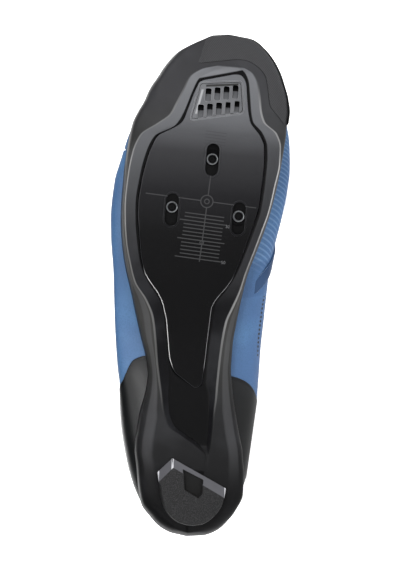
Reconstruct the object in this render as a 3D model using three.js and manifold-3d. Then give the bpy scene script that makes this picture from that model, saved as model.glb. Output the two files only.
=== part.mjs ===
import * as THREE from "three";
import { mergeVertices } from "three/addons/utils/BufferGeometryUtils.js";
import Module from "manifold-3d";

const wasm = await Module();
wasm.setup();

// Sizes in mm. Tables further down hold shares of the first three.
const LENGTH = 283;
const BALL_WIDTH = 98.4;
const HEIGHT = 100;
const GAP = 0.3;

const WALL = 2.4;
const COUNTER_THICK = 1.1;
const TONGUE_THICK = 3.2;
const STRAP_THICK = 1.8;
const INSOLE_THICK = 2.6;
const LASTING_MARGIN = 6;
const FORM_INSET = 1.6;

const PLATE_THICK = 2.7;
const PLATE_PROUD = 0.6;
const VENT_THICK = 2.1;
const VENT_SLOT_WIDTH = 2.9;
const VENT_SLOT_LENGTH = 7.2;
const BUMPER_THICK = 2;
const BUMPER_GROOVE = 0.5;
const PAD_BEVEL = 5.2;
const PAD_WINDOW_DEPTH = 4;

const CLEAT_SLOT_LENGTH = 18.2;
const CLEAT_SLOT_WIDTH = 7.3;
const CLEAT_SLOT_RIM = 1.1;
const NUT_DIAMETER = 6.5;
const NUT_BORE = 4.3;
const FLANGE_LENGTH = 11;
const FLANGE_THICK = 1.7;
const CHANNEL_DEPTH = 2.3;

const AROUND = 26;

// The last's form, heel to toe: at along the length, sides and crest across the ball,
// heights above the ground.
const FORM = [
  { at: 0.000, lateral: 0.035, medial: 0.043,
    wideL: 0.340, wideM: 0.340, top: 1.120, crest: 0.000, base: 0.215, crown: 2.60 },
  { at: 0.007, lateral: 0.100, medial: 0.108,
    wideL: 0.340, wideM: 0.340, top: 1.140, crest: 0.003, base: 0.209, crown: 2.60 },
  { at: 0.018, lateral: 0.159, medial: 0.165,
    wideL: 0.340, wideM: 0.340, top: 1.170, crest: 0.005, base: 0.202, crown: 2.60 },
  { at: 0.032, lateral: 0.203, medial: 0.207,
    wideL: 0.340, wideM: 0.360, top: 1.190, crest: 0.008, base: 0.196, crown: 2.60 },
  { at: 0.057, lateral: 0.262, medial: 0.253,
    wideL: 0.340, wideM: 0.380, top: 1.220, crest: 0.010, base: 0.191, crown: 2.60 },
  { at: 0.092, lateral: 0.314, medial: 0.298,
    wideL: 0.340, wideM: 0.410, top: 1.250, crest: 0.010, base: 0.189, crown: 2.60 },
  { at: 0.141, lateral: 0.362, medial: 0.331,
    wideL: 0.340, wideM: 0.440, top: 1.270, crest: 0.010, base: 0.190, crown: 2.60 },
  { at: 0.212, lateral: 0.411, medial: 0.348,
    wideL: 0.340, wideM: 0.460, top: 1.260, crest: 0.010, base: 0.202, crown: 2.50 },
  { at: 0.276, lateral: 0.440, medial: 0.354,
    wideL: 0.330, wideM: 0.460, top: 1.215, crest: 0.010, base: 0.219, crown: 2.40 },
  { at: 0.332, lateral: 0.471, medial: 0.352,
    wideL: 0.315, wideM: 0.445, top: 1.110, crest: 0.015, base: 0.232, crown: 2.25 },
  { at: 0.389, lateral: 0.497, medial: 0.348,
    wideL: 0.300, wideM: 0.420, top: 1.000, crest: 0.020, base: 0.230, crown: 2.10 },
  { at: 0.452, lateral: 0.520, medial: 0.350,
    wideL: 0.275, wideM: 0.385, top: 0.895, crest: 0.015, base: 0.206, crown: 2.00 },
  { at: 0.516, lateral: 0.542, medial: 0.350,
    wideL: 0.250, wideM: 0.330, top: 0.805, crest: 0.000, base: 0.170, crown: 2.00 },
  { at: 0.580, lateral: 0.571, medial: 0.364,
    wideL: 0.235, wideM: 0.295, top: 0.730, crest: -0.025, base: 0.139, crown: 2.00 },
  { at: 0.643, lateral: 0.585, medial: 0.391,
    wideL: 0.225, wideM: 0.270, top: 0.668, crest: -0.046, base: 0.118, crown: 2.05 },
  { at: 0.693, lateral: 0.579, medial: 0.409,
    wideL: 0.223, wideM: 0.260, top: 0.623, crest: -0.056, base: 0.114, crown: 2.10 },
  { at: 0.735, lateral: 0.555, medial: 0.415,
    wideL: 0.223, wideM: 0.255, top: 0.589, crest: -0.061, base: 0.121, crown: 2.20 },
  { at: 0.792, lateral: 0.516, medial: 0.403,
    wideL: 0.235, wideM: 0.260, top: 0.564, crest: -0.061, base: 0.146, crown: 2.30 },
  { at: 0.834, lateral: 0.461, medial: 0.378,
    wideL: 0.255, wideM: 0.270, top: 0.544, crest: -0.056, base: 0.176, crown: 2.40 },
  { at: 0.876, lateral: 0.392, medial: 0.331,
    wideL: 0.280, wideM: 0.290, top: 0.522, crest: -0.046, base: 0.208, crown: 2.50 },
  { at: 0.919, lateral: 0.319, medial: 0.289,
    wideL: 0.305, wideM: 0.310, top: 0.494, crest: -0.036, base: 0.236, crown: 2.50 },
  { at: 0.954, lateral: 0.250, medial: 0.236,
    wideL: 0.320, wideM: 0.320, top: 0.462, crest: -0.025, base: 0.256, crown: 2.50 },
  { at: 0.979, lateral: 0.159, medial: 0.171,
    wideL: 0.325, wideM: 0.325, top: 0.430, crest: -0.020, base: 0.269, crown: 2.50 },
  { at: 0.993, lateral: 0.073, medial: 0.096,
    wideL: 0.325, wideM: 0.325, top: 0.406, crest: -0.020, base: 0.276, crown: 2.50 },
  { at: 1.000, lateral: 0.020, medial: 0.041,
    wideL: 0.325, wideM: 0.325, top: 0.386, crest: -0.020, base: 0.280, crown: 2.50 },
];

// The sole's outside and its recess, heel to toe: across the ball from lateral to medial,
// heights from the ground.
const SOLE = [
  { at: 0.000, edgeL: 0.041, edgeM: -0.051, landL: 0.022, landM: -0.033, ridgeL: 0.006, ridgeM: -0.016,
    floorL: 0.002, floorM: -0.012, spine: 0.118, depth: 0.000, rise: 0.026, rim: 0.108 },
  { at: 0.007, edgeL: 0.112, edgeM: -0.122, landL: 0.077, landM: -0.087, ridgeL: 0.006, ridgeM: -0.016,
    floorL: 0.002, floorM: -0.012, spine: 0.102, depth: 0.000, rise: 0.032, rim: 0.122 },
  { at: 0.018, edgeL: 0.169, edgeM: -0.177, landL: 0.122, landM: -0.130, ridgeL: 0.006, ridgeM: -0.016,
    floorL: 0.002, floorM: -0.012, spine: 0.086, depth: 0.000, rise: 0.036, rim: 0.136 },
  { at: 0.032, edgeL: 0.211, edgeM: -0.216, landL: 0.159, landM: -0.164, ridgeL: 0.006, ridgeM: -0.020,
    floorL: 0.002, floorM: -0.015, spine: 0.074, depth: 0.000, rise: 0.040, rim: 0.146 },
  { at: 0.057, edgeL: 0.272, edgeM: -0.263, landL: 0.211, landM: -0.205, ridgeL: 0.000, ridgeM: -0.030,
    floorL: -0.005, floorM: -0.024, spine: 0.066, depth: 0.000, rise: 0.034, rim: 0.150 },
  { at: 0.092, edgeL: 0.299, edgeM: -0.304, landL: 0.238, landM: -0.244, ridgeL: -0.020, ridgeM: -0.051,
    floorL: -0.026, floorM: -0.045, spine: 0.064, depth: 0.000, rise: 0.034, rim: 0.150 },
  { at: 0.134, edgeL: 0.320, edgeM: -0.291, landL: 0.260, landM: -0.234, ridgeL: -0.053, ridgeM: -0.077,
    floorL: -0.059, floorM: -0.071, spine: 0.064, depth: 0.000, rise: 0.034, rim: 0.146 },
  { at: 0.166, edgeL: 0.337, edgeM: -0.280, landL: 0.278, landM: -0.228, ridgeL: -0.055, ridgeM: -0.079,
    floorL: -0.061, floorM: -0.073, spine: 0.072, depth: 0.003, rise: 0.034, rim: 0.140 },
  { at: 0.184, edgeL: 0.339, edgeM: -0.273, landL: 0.278, landM: -0.220, ridgeL: 0.002, ridgeM: -0.083,
    floorL: -0.030, floorM: -0.067, spine: 0.083, depth: 0.030, rise: 0.039, rim: 0.136 },
  { at: 0.201, edgeL: 0.335, edgeM: -0.260, landL: 0.274, landM: -0.207, ridgeL: 0.081, ridgeM: -0.087,
    floorL: 0.045, floorM: -0.067, spine: 0.095, depth: 0.036, rise: 0.038, rim: 0.132 },
  { at: 0.219, edgeL: 0.331, edgeM: -0.245, landL: 0.268, landM: -0.195, ridgeL: 0.163, ridgeM: -0.089,
    floorL: 0.124, floorM: -0.067, spine: 0.106, depth: 0.038, rise: 0.036, rim: 0.128 },
  { at: 0.247, edgeL: 0.322, edgeM: -0.225, landL: 0.260, landM: -0.179, ridgeL: 0.196, ridgeM: -0.090,
    floorL: 0.161, floorM: -0.065, spine: 0.122, depth: 0.038, rise: 0.033, rim: 0.122 },
  { at: 0.283, edgeL: 0.303, edgeM: -0.201, landL: 0.254, landM: -0.159, ridgeL: 0.218, ridgeM: -0.096,
    floorL: 0.173, floorM: -0.057, spine: 0.138, depth: 0.034, rise: 0.030, rim: 0.116 },
  { at: 0.311, edgeL: 0.297, edgeM: -0.187, landL: 0.258, landM: -0.146, ridgeL: 0.236, ridgeM: -0.097,
    floorL: 0.175, floorM: -0.035, spine: 0.147, depth: 0.030, rise: 0.028, rim: 0.112 },
  { at: 0.346, edgeL: 0.315, edgeM: -0.173, landL: 0.274, landM: -0.138, ridgeL: 0.256, ridgeM: -0.099,
    floorL: 0.191, floorM: -0.033, spine: 0.152, depth: 0.030, rise: 0.028, rim: 0.110 },
  { at: 0.389, edgeL: 0.356, edgeM: -0.172, landL: 0.309, landM: -0.140, ridgeL: 0.276, ridgeM: -0.104,
    floorL: 0.213, floorM: -0.035, spine: 0.148, depth: 0.030, rise: 0.028, rim: 0.110 },
  { at: 0.431, edgeL: 0.394, edgeM: -0.181, landL: 0.331, landM: -0.152, ridgeL: 0.303, ridgeM: -0.116,
    floorL: 0.234, floorM: -0.039, spine: 0.128, depth: 0.030, rise: 0.030, rim: 0.114 },
  { at: 0.463, edgeL: 0.422, edgeM: -0.190, landL: 0.370, landM: -0.169, ridgeL: 0.350, ridgeM: -0.146,
    floorL: 0.268, floorM: -0.045, spine: 0.106, depth: 0.030, rise: 0.032, rim: 0.118 },
  { at: 0.495, edgeL: 0.453, edgeM: -0.201, landL: 0.431, landM: -0.187, ridgeL: 0.421, ridgeM: -0.177,
    floorL: 0.337, floorM: -0.100, spine: 0.082, depth: 0.030, rise: 0.033, rim: 0.124 },
  { at: 0.530, edgeL: 0.484, edgeM: -0.218, landL: 0.465, landM: -0.205, ridgeL: 0.458, ridgeM: -0.199,
    floorL: 0.394, floorM: -0.150, spine: 0.060, depth: 0.030, rise: 0.035, rim: 0.130 },
  { at: 0.572, edgeL: 0.511, edgeM: -0.252, landL: 0.498, landM: -0.238, ridgeL: 0.491, ridgeM: -0.233,
    floorL: 0.425, floorM: -0.189, spine: 0.039, depth: 0.030, rise: 0.036, rim: 0.136 },
  { at: 0.615, edgeL: 0.528, edgeM: -0.287, landL: 0.517, landM: -0.273, ridgeL: 0.510, ridgeM: -0.267,
    floorL: 0.446, floorM: -0.224, spine: 0.024, depth: 0.031, rise: 0.036, rim: 0.140 },
  { at: 0.657, edgeL: 0.534, edgeM: -0.314, landL: 0.525, landM: -0.303, ridgeL: 0.519, ridgeM: -0.298,
    floorL: 0.455, floorM: -0.252, spine: 0.016, depth: 0.034, rise: 0.036, rim: 0.144 },
  { at: 0.707, edgeL: 0.534, edgeM: -0.338, landL: 0.520, landM: -0.325, ridgeL: 0.514, ridgeM: -0.319,
    floorL: 0.443, floorM: -0.262, spine: 0.014, depth: 0.036, rise: 0.036, rim: 0.148 },
  { at: 0.749, edgeL: 0.528, edgeM: -0.351, landL: 0.506, landM: -0.341, ridgeL: 0.499, ridgeM: -0.336,
    floorL: 0.421, floorM: -0.264, spine: 0.019, depth: 0.034, rise: 0.035, rim: 0.152 },
  { at: 0.784, edgeL: 0.518, edgeM: -0.361, landL: 0.472, landM: -0.339, ridgeL: 0.462, ridgeM: -0.333,
    floorL: 0.380, floorM: -0.256, spine: 0.033, depth: 0.030, rise: 0.034, rim: 0.158 },
  { at: 0.809, edgeL: 0.505, edgeM: -0.367, landL: 0.382, landM: -0.311, ridgeL: 0.370, ridgeM: -0.303,
    floorL: 0.268, floorM: -0.224, spine: 0.047, depth: 0.030, rise: 0.033, rim: 0.164 },
  { at: 0.830, edgeL: 0.482, edgeM: -0.368, landL: 0.311, landM: -0.240, ridgeL: 0.301, ridgeM: -0.230,
    floorL: 0.232, floorM: -0.167, spine: 0.063, depth: 0.030, rise: 0.032, rim: 0.168 },
  { at: 0.852, edgeL: 0.451, edgeM: -0.372, landL: 0.289, landM: -0.220, ridgeL: 0.272, ridgeM: -0.207,
    floorL: 0.209, floorM: -0.152, spine: 0.082, depth: 0.030, rise: 0.032, rim: 0.170 },
  { at: 0.880, edgeL: 0.421, edgeM: -0.360, landL: 0.256, landM: -0.209, ridgeL: 0.238, ridgeM: -0.195,
    floorL: 0.183, floorM: -0.142, spine: 0.110, depth: 0.030, rise: 0.032, rim: 0.170 },
  { at: 0.908, edgeL: 0.376, edgeM: -0.334, landL: 0.232, landM: -0.193, ridgeL: 0.207, ridgeM: -0.179,
    floorL: 0.148, floorM: -0.130, spine: 0.142, depth: 0.030, rise: 0.032, rim: 0.166 },
  { at: 0.926, edgeL: 0.348, edgeM: -0.315, landL: 0.213, landM: -0.171, ridgeL: 0.142, ridgeM: -0.150,
    floorL: 0.065, floorM: -0.106, spine: 0.163, depth: 0.026, rise: 0.031, rim: 0.158 },
  { at: 0.940, edgeL: 0.321, edgeM: -0.295, landL: 0.193, landM: -0.152, ridgeL: 0.026, ridgeM: -0.081,
    floorL: -0.014, floorM: -0.051, spine: 0.180, depth: 0.004, rise: 0.030, rim: 0.150 },
  { at: 0.958, edgeL: 0.278, edgeM: -0.262, landL: 0.173, landM: -0.142, ridgeL: 0.010, ridgeM: -0.041,
    floorL: 0.000, floorM: -0.030, spine: 0.203, depth: 0.000, rise: 0.030, rim: 0.140 },
  { at: 0.979, edgeL: 0.189, edgeM: -0.207, landL: 0.117, landM: -0.134, ridgeL: 0.000, ridgeM: -0.030,
    floorL: -0.006, floorM: -0.024, spine: 0.233, depth: 0.000, rise: 0.030, rim: 0.128 },
  { at: 0.993, edgeL: 0.106, edgeM: -0.148, landL: 0.061, landM: -0.102, ridgeL: -0.006, ridgeM: -0.026,
    floorL: -0.010, floorM: -0.022, spine: 0.254, depth: 0.000, rise: 0.026, rim: 0.116 },
  { at: 1.000, edgeL: 0.026, edgeM: -0.057, landL: 0.014, landM: -0.043, ridgeL: -0.008, ridgeM: -0.020,
    floorL: -0.010, floorM: -0.018, spine: 0.270, depth: 0.000, rise: 0.024, rim: 0.106 },
];

// The plate's outline in the recess.
const PLATE = [
  { at: 0.2975, lateral: 0.0305, medial: 0.0163 },
  { at: 0.3039, lateral: 0.0610, medial: -0.0122 },
  { at: 0.3251, lateral: 0.1524, medial: -0.0152 },
  { at: 0.3498, lateral: 0.1839, medial: -0.0193 },
  { at: 0.3887, lateral: 0.2033, medial: -0.0224 },
  { at: 0.4276, lateral: 0.2226, medial: -0.0254 },
  { at: 0.4594, lateral: 0.2530, medial: -0.0274 },
  { at: 0.4770, lateral: 0.2825, medial: -0.0528 },
  { at: 0.4982, lateral: 0.3364, medial: -0.0976 },
  { at: 0.5159, lateral: 0.3720, medial: -0.1280 },
  { at: 0.5477, lateral: 0.4004, medial: -0.1565 },
  { at: 0.5866, lateral: 0.4187, medial: -0.1870 },
  { at: 0.6254, lateral: 0.4380, medial: -0.2165 },
  { at: 0.6608, lateral: 0.4421, medial: -0.2398 },
  { at: 0.7067, lateral: 0.4299, medial: -0.2470 },
  { at: 0.7456, lateral: 0.4085, medial: -0.2500 },
  { at: 0.7739, lateral: 0.3821, medial: -0.2429 },
  { at: 0.7866, lateral: 0.3618, medial: -0.2388 },
  { at: 0.8057, lateral: 0.2663, medial: -0.2093 },
  { at: 0.8163, lateral: 0.2317, medial: -0.1789 },
  { at: 0.8269, lateral: 0.2175, medial: -0.1545 },
  { at: 0.8445, lateral: 0.2033, medial: -0.1413 },
  { at: 0.8728, lateral: 0.1789, medial: -0.1291 },
  { at: 0.8905, lateral: 0.1606, medial: -0.1240 },
  { at: 0.9032, lateral: 0.1382, medial: -0.1199 },
  { at: 0.9138, lateral: 0.0285, medial: -0.1077 },
  { at: 0.9216, lateral: -0.0508, medial: -0.0854 },
];

// The heel pad's outline.
const PAD = [
  { at: 0.0279, lateral: 0.0163, medial: -0.0203 },
  { at: 0.0304, lateral: 0.0549, medial: -0.0610 },
  { at: 0.0375, lateral: 0.0955, medial: -0.0996 },
  { at: 0.0488, lateral: 0.1321, medial: -0.1341 },
  { at: 0.0693, lateral: 0.1657, medial: -0.1717 },
  { at: 0.0883, lateral: 0.1829, medial: -0.1850 },
  { at: 0.1060, lateral: 0.1921, medial: -0.1911 },
  { at: 0.1265, lateral: 0.2063, medial: -0.0650 },
  { at: 0.1420, lateral: 0.1677, medial: 0.0305 },
  { at: 0.1569, lateral: 0.1311, medial: 0.1230 },
];

// The window sunk in the heel pad.
const PAD_WINDOW = [
  { at: 0.1371, across: 0.063 },
  { at: 0.1208, across: -0.0508 },
  { at: 0.0936, across: -0.0549 },
  { at: 0.0837, across: -0.0356 },
  { at: 0.0979, across: 0.0467 },
];

// The groove behind the toe bumper.
const GROOVE = [
  { at: 0.9399, across: 0.1717 },
  { at: 0.9357, across: 0.1565 },
  { at: 0.9505, across: -0.0549 },
  { at: 0.9505, across: -0.1057 },
  { at: 0.9463, across: -0.1423 },
  { at: 0.9364, across: -0.1880 },
  { at: 0.9223, across: -0.2226 },
  { at: 0.9046, across: -0.2348 },
  { at: 0.8799, across: -0.2459 },
  { at: 0.8643, across: -0.2541 },
  { at: 0.8565, across: -0.2703 },
  { at: 0.8286, across: -0.3496 },
];

// Cleat slots: middle of each, and how far its nut stands from that middle.
const SLOTS = [
  { name: "front", at: 0.7475, across: 0.045, nut: 0.35 },
  { name: "lateral", at: 0.643, across: 0.25, nut: 1.5 },
  { name: "medial", at: 0.637, across: -0.131, nut: 1.2 },
];

// Vent grille corners and the first slot of its two rows.
const VENT = [
  { at: 0.901, across: 0.14 },
  { at: 0.911, across: -0.082 },
  { at: 0.906, across: -0.1 },
  { at: 0.851, across: -0.119 },
  { at: 0.842, across: -0.108 },
  { at: 0.82, across: 0.172 },
  { at: 0.823, across: 0.19 },
  { at: 0.828, across: 0.192 },
  { at: 0.896, across: 0.152 },
];
const VENT_ROWS = [
  { at: 0.8753, across: 0.0935, count: 4 },
  { at: 0.8413, across: 0.1311, count: 5 },
];
const VENT_STEP = { at: 0.0035, across: -0.051 };

// Collar line seen from the side, and the throat seen from above.
const COLLAR = [
  { at: -0.09, height: 0.79 },
  { at: 0.014, height: 0.775 },
  { at: 0.05, height: 0.735 },
  { at: 0.1, height: 0.665 },
  { at: 0.16, height: 0.625 },
  { at: 0.22, height: 0.61 },
  { at: 0.28, height: 0.645 },
  { at: 0.33, height: 0.72 },
  { at: 0.362, height: 0.81 },
  { at: 0.385, height: 0.92 },
  { at: 0.4, height: 1.04 },
];
const THROAT = [
  { at: 0.3, lateral: 0.235, medial: -0.2 },
  { at: 0.4, lateral: 0.205, medial: -0.175 },
  { at: 0.5, lateral: 0.16, medial: -0.155 },
  { at: 0.6, lateral: 0.1, medial: -0.135 },
  { at: 0.66, lateral: 0.052, medial: -0.125 },
  { at: 0.69, lateral: 0.02, medial: -0.112 },
  { at: 0.702, lateral: -0.02, medial: -0.08 },
];
const TONGUE = [
  { at: 0.305, lateral: 0.12, medial: -0.1 },
  { at: 0.315, lateral: 0.19, medial: -0.165 },
  { at: 0.34, lateral: 0.245, medial: -0.215 },
  { at: 0.42, lateral: 0.26, medial: -0.225 },
  { at: 0.55, lateral: 0.215, medial: -0.205 },
  { at: 0.66, lateral: 0.13, medial: -0.19 },
  { at: 0.74, lateral: 0.09, medial: -0.17 },
];

// Front border of the heel counter seen from the side, for each side of the shoe.
const COUNTER_LATERAL = [
  { at: 0.37, height: 0.1 },
  { at: 0.352, height: 0.23 },
  { at: 0.31, height: 0.31 },
  { at: 0.27, height: 0.42 },
  { at: 0.215, height: 0.56 },
  { at: 0.17, height: 0.9 },
];
const COUNTER_MEDIAL = [
  { at: 0.34, height: 0.1 },
  { at: 0.325, height: 0.24 },
  { at: 0.285, height: 0.36 },
  { at: 0.245, height: 0.47 },
  { at: 0.2, height: 0.58 },
  { at: 0.16, height: 0.9 },
];

// Straps run around the form: 0 under the foot, 0.25 lateral side, 0.5 crest, 0.75 medial side.
const FRONT_STRAP = [
  { around: 0.89, at: 0.495, half: 0.018 },
  { around: 0.82, at: 0.532, half: 0.019 },
  { around: 0.75, at: 0.564, half: 0.022 },
  { around: 0.66, at: 0.595, half: 0.028 },
  { around: 0.5, at: 0.622, half: 0.031 },
  { around: 0.4, at: 0.618, half: 0.031 },
  { around: 0.32, at: 0.6, half: 0.027 },
];
const INSTEP_STRAP = [
  { around: 0.685, at: 0.49, half: 0.034 },
  { around: 0.6, at: 0.482, half: 0.041 },
  { around: 0.5, at: 0.472, half: 0.043 },
  { around: 0.4, at: 0.462, half: 0.043 },
  { around: 0.315, at: 0.452, half: 0.036 },
];

function smooth(rows, key, at, by = "at") {
  const last = rows.length - 1;
  const up = rows[last][by] > rows[0][by] ? 1 : -1;
  if ((at - rows[0][by]) * up <= 0) return rows[0][key];
  if ((at - rows[last][by]) * up >= 0) return rows[last][key];
  let i = 0;
  while ((at - rows[i + 1][by]) * up > 0) i++;
  const slope = (k) => (rows[k + 1][key] - rows[k][key]) / (rows[k + 1][by] - rows[k][by]);
  const tangent = (k) => {
    if (k === 0) return slope(0);
    if (k === last) return slope(last - 1);
    const before = slope(k - 1);
    const after = slope(k);
    return before * after <= 0 ? 0 : (2 * before * after) / (before + after);
  };
  const span = rows[i + 1][by] - rows[i][by];
  const t = (at - rows[i][by]) / span;
  const t2 = t * t;
  const t3 = t2 * t;
  return (
    rows[i][key] * (2 * t3 - 3 * t2 + 1) +
    tangent(i) * span * (t3 - 2 * t2 + t) +
    rows[i + 1][key] * (3 * t2 - 2 * t3) +
    tangent(i + 1) * span * (t3 - t2)
  );
}

// x runs heel to toe, y to the medial side, z up from the ground; across counts to the lateral side.
const point = (along, across, height) => new THREE.Vector3(along, -across, height);

// The heel's back leans in above and below its fullest height.
function lean(along, height) {
  const near = Math.max(0, 1 - along / (0.2 * LENGTH));
  const full = 0.31 * HEIGHT;
  const off = (height - full) / HEIGHT;
  const back = off > 0 ? 17 * off * off + 4 * off : 90 * off * off;
  return near * near * Math.min(back, 9);
}

// A point on the form's skin, moved out by `out` (in when negative).
function formPoint(at, around, out) {
  const read = (key) => smooth(FORM, key, at);
  const along = at * (LENGTH - 2 * FORM_INSET + 2 * out) + FORM_INSET - out;
  const lateral = around < 0.5;
  const upper = around > 0.25 && around < 0.75;
  const side = Math.max(0.6, read(lateral ? "lateral" : "medial") * BALL_WIDTH + out);
  const base = read("base") * HEIGHT - out;
  const top = read("top") * HEIGHT + out;
  const wide = Math.min(Math.max(read(lateral ? "wideL" : "wideM") * HEIGHT, base + 2), top - 2);
  const room = Math.max(0.1, Math.min(side, 0.35 * BALL_WIDTH) / (0.35 * BALL_WIDTH));
  const middle = upper ? read("crest") * BALL_WIDTH * room : 0;
  const turn = (lateral ? 0.25 - around : around - 0.75) * 2 * Math.PI;
  const power = 2 / (upper ? read("crown") : 2.6);
  const c = Math.abs(Math.cos(turn)) ** power;
  const s = Math.abs(Math.sin(turn)) ** power;
  const reach = lateral ? side : -side;
  const across = middle + (reach - middle) * c;
  const height = upper ? wide + (top - wide) * s : wide - (wide - base) * s;
  return point(along + lean(along, height), across, height);
}

function geometryOf(points, faces) {
  const g = new THREE.BufferGeometry().setFromPoints(points);
  g.setIndex(faces);
  return g;
}

function solidOf(geometry) {
  const g = geometry.clone();
  g.deleteAttribute("normal");
  g.deleteAttribute("uv");
  const m = mergeVertices(g, 1e-4);
  const vertProperties = new Float32Array(m.attributes.position.array);
  const triVerts = new Uint32Array(m.index.array);
  return new wasm.Manifold(new wasm.Mesh({ numProp: 3, vertProperties, triVerts }));
}

// Skins closed rings of equal counts into one solid, ends closed flat.
function loft(rings) {
  const n = rings[0].length;
  const points = rings.flat();
  const faces = [];
  for (let i = 0; i < rings.length - 1; i++) {
    for (let j = 0; j < n; j++) {
      const a = i * n + j;
      const b = i * n + ((j + 1) % n);
      faces.push(a, b, a + n, b, b + n, a + n);
    }
  }
  [0, rings.length - 1].forEach((i) => {
    const ring = rings[i];
    const centre = ring.reduce((sum, p) => sum.add(p), new THREE.Vector3()).divideScalar(n);
    points.push(centre);
    const c = points.length - 1;
    for (let j = 0; j < n; j++) {
      const a = i * n + j;
      const b = i * n + ((j + 1) % n);
      if (i === 0) faces.push(c, b, a);
      else faces.push(c, a, b);
    }
  });
  let volume = 0;
  for (let k = 0; k < faces.length; k += 3) {
    const [p, q, r] = [points[faces[k]], points[faces[k + 1]], points[faces[k + 2]]];
    volume += p.dot(new THREE.Vector3().crossVectors(q, r));
  }
  if (volume < 0) {
    for (let k = 0; k < faces.length; k += 3) [faces[k], faces[k + 1]] = [faces[k + 1], faces[k]];
  }
  return solidOf(geometryOf(points, faces));
}

// Upright prism over an outline of {x: along, y: -across} points.
function prism(outline, low, high) {
  const g = new THREE.ExtrudeGeometry(new THREE.Shape(outline), { depth: high - low, bevelEnabled: false });
  g.translate(0, 0, low);
  return solidOf(g);
}

// Prism across the shoe over an outline of {x: along, y: height} points, from one across to another.
function sidePrism(outline, from, to) {
  const g = new THREE.ExtrudeGeometry(new THREE.Shape(outline), { depth: to - from, bevelEnabled: false });
  g.rotateX(Math.PI / 2);
  g.translate(0, -from, 0);
  return solidOf(g);
}

function grown(outline, by) {
  const n = outline.length;
  const area = outline.reduce((sum, p, i) => {
    const q = outline[(i + 1) % n];
    return sum + p.x * q.y - q.x * p.y;
  }, 0);
  const sign = area > 0 ? 1 : -1;
  return outline.map((p, i) => {
    const q = outline[(i + n - 1) % n];
    const r = outline[(i + 1) % n];
    const a = new THREE.Vector2(p.y - q.y, q.x - p.x).normalize();
    const b = new THREE.Vector2(r.y - p.y, p.x - r.x).normalize();
    const half = a.clone().add(b).normalize();
    return p.clone().addScaledVector(half, (sign * by) / Math.max(0.5, half.dot(a)));
  });
}

function drawnIn(outline, share) {
  const centre = outline.reduce((sum, p) => sum.add(p), new THREE.Vector2()).divideScalar(outline.length);
  return outline.map((p) => p.clone().sub(centre).multiplyScalar(share).add(centre));
}

const flat = (row, key) => new THREE.Vector2(row.at * LENGTH, -row[key] * BALL_WIDTH);

const outlineOf = (rows, lateral = "lateral", medial = "medial") => [
  ...rows.map((row) => flat(row, lateral)),
  ...[...rows].reverse().map((row) => flat(row, medial)),
];

function stadium(length, width, at, across) {
  const r = width / 2;
  const reach = length / 2 - r;
  const round = [];
  for (let i = 0; i <= 5; i++) {
    const turn = -Math.PI / 2 + (i / 5) * Math.PI;
    round.push(new THREE.Vector2(at + reach + r * Math.cos(turn), -across + r * Math.sin(turn)));
  }
  for (let i = 0; i <= 5; i++) {
    const turn = Math.PI / 2 + (i / 5) * Math.PI;
    round.push(new THREE.Vector2(at - reach + r * Math.cos(turn), -across + r * Math.sin(turn)));
  }
  return round;
}

const FORM_STATIONS = [
  0, 0.007, 0.018, 0.034, 0.057, 0.09, 0.125, 0.165, 0.21, 0.25, 0.29, 0.33, 0.365, 0.4, 0.44, 0.48, 0.52,
  0.56, 0.6, 0.64, 0.68, 0.72, 0.76, 0.8, 0.84, 0.88, 0.915, 0.94, 0.96, 0.978, 0.992, 1,
];

function form(out) {
  const rings = FORM_STATIONS.map((at) =>
    Array.from({ length: AROUND }, (_, i) => formPoint(at, (i + 0.5) / AROUND, out)),
  );
  return loft(rings);
}

const SOLE_STATIONS = [
  0, 0.007, 0.018, 0.032, 0.057, 0.092, 0.134, 0.166, 0.184, 0.201, 0.219, 0.247, 0.283, 0.311, 0.346, 0.389,
  0.431, 0.463, 0.495, 0.53, 0.572, 0.615, 0.657, 0.707, 0.749, 0.784, 0.809, 0.83, 0.852, 0.88, 0.908, 0.926,
  0.94, 0.958, 0.979, 0.993, 1,
];

// The sole as one block under and around the form's foot; `inset` moves its outside in.
function soleBlock(inset) {
  const rings = SOLE_STATIONS.map((at) => {
    const read = (key) => smooth(SOLE, key, at);
    const along = at * (LENGTH - 2 * inset) + inset;
    const ground = read("spine") * HEIGHT + inset;
    const rise = ground + read("rise") * HEIGHT;
    const rim = read("spine") * HEIGHT + read("rim") * HEIGHT;
    const floor = ground + read("depth") * HEIGHT;
    const left = Math.max(0.9, read("edgeL") * BALL_WIDTH - inset);
    const right = Math.min(-0.9, read("edgeM") * BALL_WIDTH + inset);
    const line = (key) => (read(key) * (left - right)) / (read("edgeL") - read("edgeM"));
    const low = Math.max(0, 1 - 0.5 / Math.max(left, 0.5));
    const spots = [
      [left, rim],
      [left * (0.04 + 0.96 * low), rise],
      [line("landL"), ground + 0.4],
      [line("ridgeL"), ground],
      [line("floorL"), floor],
      [line("floorM"), floor],
      [line("ridgeM"), ground],
      [line("landM"), ground + 0.4],
      [right * (0.04 + 0.96 * low), rise],
      [right, rim],
      [right * 0.4, rim + 1],
      [left * 0.4, rim + 1],
    ];
    return spots.map(([across, height]) => point(along + lean(along, height), across, height));
  });
  return loft(rings);
}

// Height of the recess floor, level under the cleat and curved elsewhere.
const CLEAT_FLAT = [0.6, 0.79];
function floorHeight(at) {
  const own = (x) => (smooth(SOLE, "spine", x) + Math.max(0.03, smooth(SOLE, "depth", x))) * HEIGHT;
  const [start, end] = CLEAT_FLAT;
  if (at < start || at > end) return own(at);
  return own(start);
}

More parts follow.
